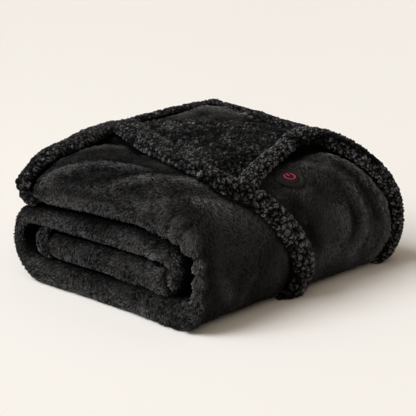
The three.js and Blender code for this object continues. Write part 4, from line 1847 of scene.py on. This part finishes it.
        # Each zone's light paints its part of the pile lighter or darker by how light falls there;
        # contrast and fine are random tone.
        plan = (
            (replace(ends, contrast=0.24, light=0.34),
             [on(out, (q > 0) * end_face * bare), on(into, near_row * (row > 40))]),
            (replace(ends, name="pile_near", contrast=0.45, light=0.66),
             [on(out, (q <= 0) * (y < 20)), on(into, near_row * (row <= 40))]),
            (replace(skins, fine=0.10, light=0.50, crisp=0.15),
             [on(out, front * (1 - end_face) * ~far_face)]),
            (replace(skins, name="pile_top", lay=(-0.5, -0.8, -0.3), fine=0.12, light=0.30,
                     crisp=0.35),
             [on(out, above * (1 - end_face) * ~far_face)]),
            (replace(back, contrast=0.22, light=0.55, crisp=0.5, limit=25000),
             [on(out, np.maximum(belly, far_face * bare * (facing[..., 1] > 0.0))),
              on(into, station > row.shape[1] - 9)]),
        )
        return [self.tufts(self.sample(nets, zone), zone) for zone, nets in plan]


# ---- fleece ----
@dataclass(frozen=True)
class Curls:
    """How a fleece is curled, in millimetres."""

    size: float = 7.0
    depth: float = 5.2
    salt: int = 40
    uneven: float = 0.4

    def relief(self, p: Array) -> tuple[Array, Array]:
        """Finds the fleece's height.

        Args:
            p: Points on its base.

        Returns:
            The height, and how light each place is painted: lighter on the knots, with painted
            shade in the gaps between them.
        """
        bend = np.stack([swell(p, self.size, self.salt + k) for k in (11, 12, 13)], axis=-1)
        warped = p + 0.28 * self.size * bend
        big, own = self.knots(warped, self.size, self.salt)
        small, _ = self.knots(warped + 3.1, self.size * 0.45, self.salt + 20)
        full = big * (1 - self.uneven + self.uneven * own)
        height = self.depth * (0.72 * full + 0.32 * small * (0.3 + 0.7 * big))
        # Painted shade in the gaps between the knots, lighter on the full ones.
        light = (0.02 + 1.1 * full**2) * (0.3 + 0.7 * small)
        return height, np.clip(light, 0, 1)

    @staticmethod
    def knots(p: Array, size: float, salt: int) -> tuple[Array, Array]:
        """Returns round knots, 1 on a knot and 0 between two, and each knot's own number."""
        first, second, own = clumps(p, size, salt)
        inward = np.clip((second - first - 0.05) / 0.55, 0, 1)
        return np.sqrt(1 - (1 - inward) ** 2), own


@dataclass
class FleeceBand:
    """A raised fleece border along a path on the skin, in millimetres."""

    name: str
    replaces: str
    table: Array
    skin: Chart
    curls: Curls = Curls()
    step: float = 1.35
    gap: float = 0.8
    round_ends: Pair = (10.0, 10.0)
    flat_width: float = 0.056
    # Painted light: how much lighter the whole band is painted than the rest of the fleece.
    tone: float = 1.0
    crest_highlight: float = 0.0  # a painted highlight: how much lighter the line along its upper edge is painted
    across_power: float = 0.8
    up_power: float = 0.74

    def section(self, width: float, thick: float) -> Array:
        """Returns the band's section as even places, across and up, from edge to edge."""
        a = np.linspace(0, np.pi, 181)
        c, s = np.cos(a), np.sin(a)
        across = -np.sign(c) * np.abs(c) ** self.across_power * width / 2
        shape = np.stack([across, np.abs(s) ** self.up_power * thick], axis=1)
        at = lengths(shape)
        even = np.linspace(0, at[-1], int(at[-1] / self.step) + 1)
        return read(shape, at, even)

    def path(self) -> tuple[Array, Array]:
        """Returns the rows of the path and its way at each of them."""
        rows = curve_through(self.table, self.step)
        way = unit(np.gradient(rows[:, :2], axis=0))
        return rows, way

    def length(self) -> float:
        """Returns the band's real length in metres."""
        rows, _ = self.path()
        return float(lengths(self.skin.point(rows[:, 0], rows[:, 1]))[-1]) * MM

    def build(self) -> Piece:
        """Builds the band and returns it."""
        rows, way = self.path()
        at = lengths(rows[:, :2])
        start, stop = self.round_ends
        to_end = at[-1] - at
        taper = np.minimum(rounded(1 - (at + 0.4) / start), rounded(1 - (to_end + 0.4) / stop))
        taper = taper[:, None]
        widest = rows[:, 2].max()
        section = self.section(widest, rows[:, 3].max())
        pull = 0.78 * self.curls.depth
        across = section[:, 0] / widest * (rows[:, 2:3] - 1.2 * pull)
        up = section[:, 1] / section[:, 1].max() * (rows[:, 3:4] - pull)
        across, up = across * (0.35 + 0.65 * taper), up * taper
        q = rows[:, 0:1] - way[:, 1:2] * across
        y = rows[:, 1:2] + way[:, 0:1] * across
        top = self.skin.on(q, y, self.gap + up)
        out = outward(top, self.skin.normal(q, y))
        height, light = self.curls.relief(top)
        edge = np.clip(np.minimum(section[:, 1] / 2.0, 1.0), 0.15, 1.0)
        top = top + out * (height * edge)[..., None]
        top[..., 2] = np.maximum(top[..., 2], FLOOR_GAP)
        # Painted shade where the band thins out at its edges and in the hollows, and a painted
        # highlight along its upper edge.
        light = self.tone * light * (0.45 + 0.55 * ease(section[:, 1] / 5.0))
        light *= np.minimum(lit(q, y), 1.0)
        light *= 1 + self.crest_highlight * hump(section[:, 0] / widest + 0.3, 0.13)
        sew = Sewing()
        over = sew.add(top, light)
        low = across[:, [-1, 0]] * 0.5
        under_q = rows[:, 0:1] - way[:, 1:2] * low
        under_y = rows[:, 1:2] + way[:, 0:1] * low
        base = self.skin.on(under_q, under_y, self.gap - 0.4)
        under = sew.add(base, 0.0)
        sew.grid(over, (0.0, 0.94))
        sew.grid(np.column_stack([over[:, -1], under, over[:, 0]]), (0.95, 0.97))
        rings = [np.concatenate([over[k], under[k]]) for k in (0, -1)]
        sew.caps(rings, (top[0].mean(0), top[-1].mean(0)), (0.975, 0.985, 0.008))
        return sew.object(self.name)


@dataclass
class FleeceRim:
    """A fleece rim that wraps a folded edge, a crescent in section, in millimetres."""

    name: str
    replaces: str
    skin: Chart
    rows: Array  # y, first q and last q
    curls: Curls = Curls()
    step: float = 1.6
    gap: float = 1.6
    end: float = 9.0
    stand_out: float = 6.0
    flat_width: float = 0.11
    under_every: int = 8
    under_gap: float = 1.0

    def thick(self, c: Array, y: Array) -> Array:
        """Returns the rim's thickness across it (c, from -1 to 1) and along it (y)."""
        raise NotImplementedError

    def length(self) -> float:
        """Returns the rim's length in metres."""
        return (self.rows[-1, 0] - self.rows[0, 0]) * MM

    def build(self) -> Piece:
        """Builds the rim and returns it."""
        dense = curve_through(self.rows, 1.0, 1)
        first, last = dense[0, 0], dense[-1, 0]
        t = np.linspace(0.12, np.pi / 2, int(2 * self.end / self.step), endpoint=False)
        mid = np.linspace(first + self.end, last - self.end, int((last - first) / self.step))
        y = np.concatenate([
            first + self.end * (1 - np.cos(t)), mid, last - self.end * (1 - np.cos(t[::-1]))
        ])
        low, high = (np.interp(y, dense[:, 0], dense[:, k])[:, None] for k in (1, 2))
        full = np.concatenate([np.sin(t), np.ones(len(mid)), np.sin(t[::-1])])[:, None]
        count = int((high - low).max() / self.step)
        c = np.linspace(-1, 1, count)[None, :]
        q = lerp(low, high, (c + 1) / 2)
        body = np.maximum(self.thick(c, y[:, None]) - 0.75 * self.curls.depth, 0.4)
        y = y[:, None] + 0 * q
        flat = 1 - ease((y - 10) / 50)
        top = self.skin.on(q, y, self.gap + body * full, flat)
        forward = self.stand_out * full * hump(y - first, 16) * ease(body / 9)
        top[..., 1] -= forward * (1 - 0.7 * ease(c / 0.4))
        out = outward(top, self.skin.normal(q, y))
        height, light = self.curls.relief(top)
        edge = ease((1.02 - np.abs(c)) / 0.08)
        top = top + out * (height * edge)[..., None]
        sew = Sewing()
        # Painted shade towards the rim's edges.
        over = sew.add(top, light * (0.35 + 0.65 * edge))
        few = (slice(None), slice(None, None, self.under_every))
        base = self.skin.on(q[few], y[few], self.under_gap, flat[few])
        under = sew.add(base, 0.0)
        sew.slab(over, under)
        rings = [np.concatenate([over[k], under[k][::-1]]) for k in (0, -1)]
        hubs = [lerp(top[k].mean(0), base[k].mean(0), 0.5) for k in (0, -1)]
        sew.caps(rings, hubs, (0.976, 0.986, 0.008))
        return sew.object(self.name)


@dataclass
class BackRim(FleeceRim):
    """The rim round the folded back edge of the top."""

    near_thick: float = 20.0
    far_thick: float = 17.0
    fuller: float = 4.5
    least: float = 2.4

    def thick(self, c: Array, y: Array) -> Array:
        """Returns the rim's thickness at c and y."""
        upper = (1 - np.minimum(np.abs(c), 1) ** 3) ** 0.5
        lower = (1 - np.clip(c, 0, 1) ** lerp(4.0, 1.7, ease(y / 70))) ** 0.7
        full = lerp(self.near_thick, self.far_thick, ease(y / 90))
        high = full + self.fuller * ease((y - 10) / 26) * ease((160 - y) / 50)
        high = high - self.fuller * hump(y - 205, 20)
        return np.maximum(self.least, np.where(c < 0, high * upper, full * lower))


@dataclass
class CoreRim(FleeceRim):
    """The rim round the rolled core's fold."""

    full: float = 17.0
    least: float = 1.6

    def thick(self, c: Array, y: Array) -> Array:
        """Returns the rim's thickness at c and y."""
        return np.maximum(self.least, self.full * (1 - np.abs(c) ** 2.6) ** 0.9 + 0 * y)


def brink(count: int) -> Array:
    """Returns how far in from the nearer end each of so many even places is."""
    t = np.linspace(0, 1, count)
    return np.minimum(t, 1 - t)


@dataclass
class Lining:
    """The fleece lining that shows between the arms of the V."""

    skin: Chart
    curls: Curls = Curls(6.8, 6.8, 90, 0.7)
    step: float = 1.5
    gap: float = 0.9
    thick: float = 0.8
    under_every: int = 6
    flat: Pair = (0.17, 0.30)
    # Painted shade: the flat lining is painted a little darker than the borders.
    tone: float = 0.94

    def build(self) -> Piece:
        """Builds the lining and returns it."""
        sides = [drawn(LINING_EDGE[:, k:k + 2], 1.0) for k in (0, 2)]
        count = int(max(len(side) for side in sides) / self.step)
        t = np.linspace(0, 1, count)
        ends = [read(side, np.linspace(0, 1, len(side)), t) for side in sides]
        wide = int(np.linalg.norm(ends[1] - ends[0], axis=1).max() / self.step)
        s = np.linspace(0, 1, wide)[None, :, None]
        at = lerp(ends[0][:, None], ends[1][:, None], s)
        q, y = at[..., 0], at[..., 1]
        base = self.skin.on(q, y, self.gap + self.thick)
        out = self.skin.normal(q, y)
        height, light = self.curls.relief(base)
        edge_fade = ease(np.minimum(brink(count)[:, None], brink(wide)) / 0.02)
        top = base + out * (height * (0.2 + 0.8 * edge_fade))[..., None]
        sew = Sewing()
        # Random mottling of tone, over the curls' painted shade in their gaps.
        mottle = np.exp(0.6 * swell(base, 12.0, 95) + 0.35 * swell(base, 40.0, 96))
        over = sew.add(top, np.clip(light * self.tone * mottle, 0, 1))
        cols = np.unique(np.append(np.arange(0, wide, self.under_every), wide - 1))
        under = sew.add(self.skin.on(q[:, cols], y[:, cols], self.gap - 0.2), 0.0)
        sew.slab(over, under)
        ta, tb = np.linspace(0, 1, wide), cols / (wide - 1)
        sew.zip(under[0], tb, over[0], ta, (0.976, 0.984))
        sew.zip(over[-1], ta, under[-1], tb, (0.986, 0.994))
        return sew.object("fleece_lining")


# ---- the control button ----
@dataclass
class Button:
    """The round soft button with its raised ring, and the lit mark on it."""

    skin: Chart
    centre: Pair = (BUTTON_AT[0] + 3, BUTTON_AT[1])
    gap: float = 1.9
    profile: tuple[Pair, ...] = (
        (0.0, 2.3), (4.0, 2.2), (8.0, 1.9), (10.6, 1.5), (11.6, 0.7), (12.2, 0.2), (12.8, 0.6),
        (13.6, 1.9), (14.6, 2.6), (15.6, 2.4), (16.4, 1.6), (17.2, 0.4), (17.9, -0.6),
        (18.8, -0.9),
    )
    spokes: int = 96
    thread_sides: int = 14
    under_gap: float = -0.6
    thread_lift: float = 2.75
    turn: float = 12.0  # of the mark, in degrees
    ring_size: Pair = (5.6, 6.2)
    ring_open: float = 35.0  # half of the ring's opening, in degrees
    bar_from_to: Pair = (0.6, 6.6)
    ring_half: float = 0.8
    bar_half: float = 0.75

    def stretch(self) -> float:
        """Returns the real length of one millimetre of y at the button."""
        q, y = np.array(self.centre[0]), self.centre[1]
        gap = self.skin.point(q, np.array(y + 5)) - self.skin.point(q, np.array(y - 5))
        return float(np.linalg.norm(gap)) / 10

    def on(self, u: Array, v: Array, lift: Array | float) -> Array:
        """Returns points above the skin at u up and v along from the button's middle."""
        at = (self.centre[0] + u, self.centre[1] + v / self.stretch())
        return self.skin.on(*at, lift + seat(*at))

    def cover(self) -> Piece:
        """Builds the button's cover and returns it."""
        rings = drawn(self.profile, 0.45)[1:]
        a = np.linspace(0, 2 * np.pi, self.spokes, endpoint=False)
        u = rings[:, 0:1] * np.sin(a)
        v = rings[:, 0:1] * np.cos(a)
        middle, low = np.zeros(1), self.gap + self.under_gap
        sew = Sewing()
        rim = sew.add(self.on(u, v, self.gap + rings[:, 1:2] + 0 * u))
        hub = sew.add(self.on(middle, middle, self.gap + self.profile[0][1]))
        under = sew.add(self.on(u[-1:], v[-1:], low))
        foot = sew.add(self.on(middle, middle, low))
        ring = np.concatenate([rim, under]).T
        sew.grid(ring, (0.0, 0.94), wrap=True)
        sew.fan(rim[0][::-1], int(hub[0]), (0.95, 0.97))
        sew.fan(under[0], int(foot[0]), (0.975, 0.995))
        return sew.object("button_cover")

    def thread(self, name: str, u: Array, v: Array, half: float) -> Piece:
        """Builds a rounded raised line.

        Args:
            name: The piece's name.
            u: How far up the button each point of the line is.
            v: How far along.
            half: Half of the line's width.

        Returns:
            The line.
        """
        line = np.stack([u, v], axis=1)
        way = unit(np.gradient(line, axis=0))
        at = lengths(line)
        a = np.linspace(0, 2 * np.pi, self.thread_sides, endpoint=False)
        ends = np.minimum(at, at[-1] - at) / half
        size = np.sqrt(1 - np.clip(1 - ends, 0, 1) ** 2) * 0.95 + 0.05
        twist = 1 + 0.10 * np.sin(at * 5.2)
        wide = half * (size * twist)[:, None] * np.cos(a)
        lift = self.gap + self.thread_lift + 0.55 * (size * twist)[:, None] * np.sin(a)
        p = self.on(u[:, None] - way[:, 1:2] * wide, v[:, None] + way[:, 0:1] * wide, lift)
        sew = Sewing()
        index = sew.add(p)
        sew.grid(index.T, (0.0, 0.94), wrap=True)
        rings = (index[0][::-1], index[-1][::-1])
        sew.caps(rings, (p[0].mean(0), p[-1].mean(0)), (0.95, 0.975, 0.02), 1.0)
        return sew.object(name)

    def mark(self) -> list[Piece]:
        """Builds the open ring and the bar of the power mark and returns them."""
        turn, (high, wide) = math.radians(self.turn), self.ring_size
        a = turn + np.radians(np.linspace(self.ring_open, 360 - self.ring_open, 90))
        k = np.linspace(*self.bar_from_to, 18)
        return [
            self.thread("mark_ring_thread", high * np.cos(a), wide * np.sin(a), self.ring_half),
            self.thread("mark_bar_thread", k * math.cos(turn), k * math.sin(turn), self.bar_half),
        ]


# ---- the studio ----
class LampKind(Enum):
    """What a lamp is: so far off that its light is even, or a ball close by."""

    FAR = "SUN"
    BALL = "POINT"


@dataclass(frozen=True)
class Lamp:
    """A soft lamp: its spread is in degrees if it is far off, else in metres."""

    name: str
    place: Place
    tint: Colour
    strength: float
    spread: float
    kind: LampKind = LampKind.FAR

    def hang(self) -> None:
        """Hangs the lamp."""
        data = bpy.data.lights.new(self.name, self.kind.value)
        data.energy, data.color = self.strength, self.tint
        if self.kind is LampKind.FAR:
            data.angle = math.radians(self.spread)
        else:
            data.shadow_soft_size = self.spread
        made = linked(self.name, data)
        x, y, z = self.place
        made.location = self.place
        made.rotation_euler = (math.atan2(math.hypot(x, y), z), 0.0, math.atan2(x, -y))


@dataclass
class Studio:
    """A plain pale floor, soft lamps and the camera, in metres."""

    azimuth: float = 43.3
    elevation: float = 16.1
    lens: float = 135.0
    aim: Place = (-0.00817, -0.00770, 0.09334)
    distance: float = 2.27335
    floor_size: float = 30.0
    sky: Colour = (1.0, 0.83, 0.66)
    sky_strength: float = 0.23
    main: Lamp = Lamp("main_lamp", (-1.15, -2.8, 2.9), (0.972, 0.990, 1.0), 2.95, 34.0)
    fill: Lamp = Lamp("fill_lamp", (1.0, -2.4, 2.6), (1.0, 0.86, 0.70), 0.87, 80.0)
    near: Lamp = Lamp(
        "near_lamp", (-0.85, -0.95, 1.2), (1.0, 0.98, 0.94), 9.5, 0.35, LampKind.BALL
    )

    def camera(self) -> None:
        """Sets up the camera."""
        a, e = math.radians(self.azimuth), math.radians(self.elevation)
        back = np.array([math.sin(a) * math.cos(e), -math.cos(a) * math.cos(e), math.sin(e)])
        data = bpy.data.cameras.new("camera")
        data.lens, data.sensor_width = self.lens, 36.0
        data.clip_end = 100.0
        made = linked("camera", data)
        made.location = np.array(self.aim) + back * self.distance
        made.rotation_euler = (math.pi / 2 - e, 0.0, a)
        bpy.context.scene.camera = made

    def floor(self) -> None:
        """Lays the floor."""
        half = self.floor_size / 2
        finish = FloorFinish()
        mesh = bpy.data.meshes.new(finish.name)
        around = [(-half, -half, 0), (half, -half, 0), (half, half, 0), (-half, half, 0)]
        mesh.from_pydata(around, [], [(0, 1, 2, 3)])
        mesh.materials.append(finish.build())
        linked(finish.name, mesh)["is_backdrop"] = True

    def build(self) -> None:
        """Sets up the whole studio."""
        self.camera()
        self.floor()
        world = bpy.data.worlds.new("studio_sky")
        world.use_nodes = True
        sky = world.node_tree.nodes["Background"]
        sky.inputs["Color"].default_value = (*self.sky, 1.0)
        sky.inputs["Strength"].default_value = self.sky_strength
        bpy.context.scene.world = world
        bpy.context.scene.view_settings.view_transform = "Standard"
        for lamp in (self.main, self.fill, self.near):
            lamp.hang()


# ---- the whole blanket ----
@dataclass
class Blanket:
    """All the pieces of the folded blanket and what each one stands for."""

    form: RollForm = field(default_factory=RollForm)
    finishes: dict[str, Material] = field(default_factory=dict)

    def finish(self, kind: Callable[[], object]) -> Material:
        """Returns the material of a kind of finish, made once."""
        made = kind()
        if made.name not in self.finishes:
            self.finishes[made.name] = made.build()
        return self.finishes[made.name]

    def dress(
        self,
        piece: Piece,
        finish: Callable[[], object],
        stands_for: Sequence[str] = (),
    ) -> Piece:
        """Gives a piece its finish and body, hides the nodes that it stands for, and logs its
        triangles.

        Args:
            piece: The piece.
            finish: Its kind of finish.
            stands_for: The nodes that it stands for.

        Returns:
            The piece.
        """
        piece.data.materials.append(self.finish(finish))
        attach(piece, BODY)
        if stands_for:
            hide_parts(*stands_for)
        LOG.info("%s: %d triangles", piece.name, triangles_of(piece))
        return piece

    def cloth(self, skin: Chart) -> Piece:
        """Builds the plush cloth with its pile and returns the cloth."""
        cloth = PlushCloth(self.form, skin)
        piece = self.dress(cloth.build(), PlushFinish, ["plush_roll"])
        pile = [self.dress(p, PileFinish) for p in Pile(cloth).build()]
        return piece

    def borders(self, skin: Chart, hook: Chart) -> None:
        """Builds the fleece borders, rims and lining that lie on the cloth."""
        # The right border and the front strip are painted lighter, as painted light, and the left
        # arm has a painted highlight along its crest.
        bands = (
            FleeceBand("fleece_right_border", "right_border", RIGHT_BORDER, skin,
                       Curls(6.4, 4.8, 40), flat_width=0.056, tone=1.5),
            FleeceBand("fleece_left_arm", "left_arm", LEFT_ARM, skin,
                       Curls(7.4, 5.6, 50), flat_width=0.070, crest_highlight=0.5),
            FleeceBand("fleece_front_strip", "front_strip", STRIP, skin,
                       Curls(8.8, 6.2, 60), flat_width=0.068, tone=1.62),
            FleeceBand("fleece_back_border", "back_border", BACK_BORDER, skin,
                       Curls(5.6, 3.4, 70), flat_width=0.056),
        )
        low = skin.end - lerp(24.0, 37.0, ease(RIM_EDGE[:, :1] / 70))
        mid, reach = hook.end / 2, 26.0
        spans = np.array([[y, mid - reach, mid + reach] for y in (1, 12, 100, 240, 380, 444)])
        rims = (
            BackRim("fleece_back_rim", "back_rim", skin, np.column_stack([RIM_EDGE, low]),
                    Curls(6.8, 5.0, 80), end=9.0, stand_out=7.0, flat_width=0.125),
            CoreRim("fleece_core_rim", "core_rim", hook, spans,
                    Curls(5.6, 4.4, 85), step=1.8, end=12.0, stand_out=2.0, flat_width=0.064),
        )
        for border in (*bands, *rims):
            piece = self.dress(border.build(), FleeceFinish, [border.replaces])
            flat = (border.flat_width, border.length())
        lining = Lining(skin)
        piece = self.dress(lining.build(), FleeceFinish, ["lining"])

    def build(self) -> None:
        """Builds every piece."""
        skin, hook = skin_of(self.form), hook_of(self.form)
        cloth = self.cloth(skin)
        self.borders(skin, hook)
        button = Button(skin)
        self.dress(button.cover(), ButtonFinish, ["button_patch"])
        ring, bar = button.mark()
        self.dress(ring, LitFinish, ["mark_ring"])
        self.dress(bar, LitFinish, ["mark_bar"])


def corners() -> list[list[float]]:
    """Returns the whole object's lowest and highest corners as plain lists."""
    return [[float(x) for x in corner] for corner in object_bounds()]


def main() -> None:
    """Loads the frame, and builds the blanket and the studio."""
    logging.basicConfig(level=logging.INFO, format="%(name)s %(message)s")
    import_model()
    Blanket().build()
    Studio().build()
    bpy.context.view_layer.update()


if __name__ == "__main__":
    main()
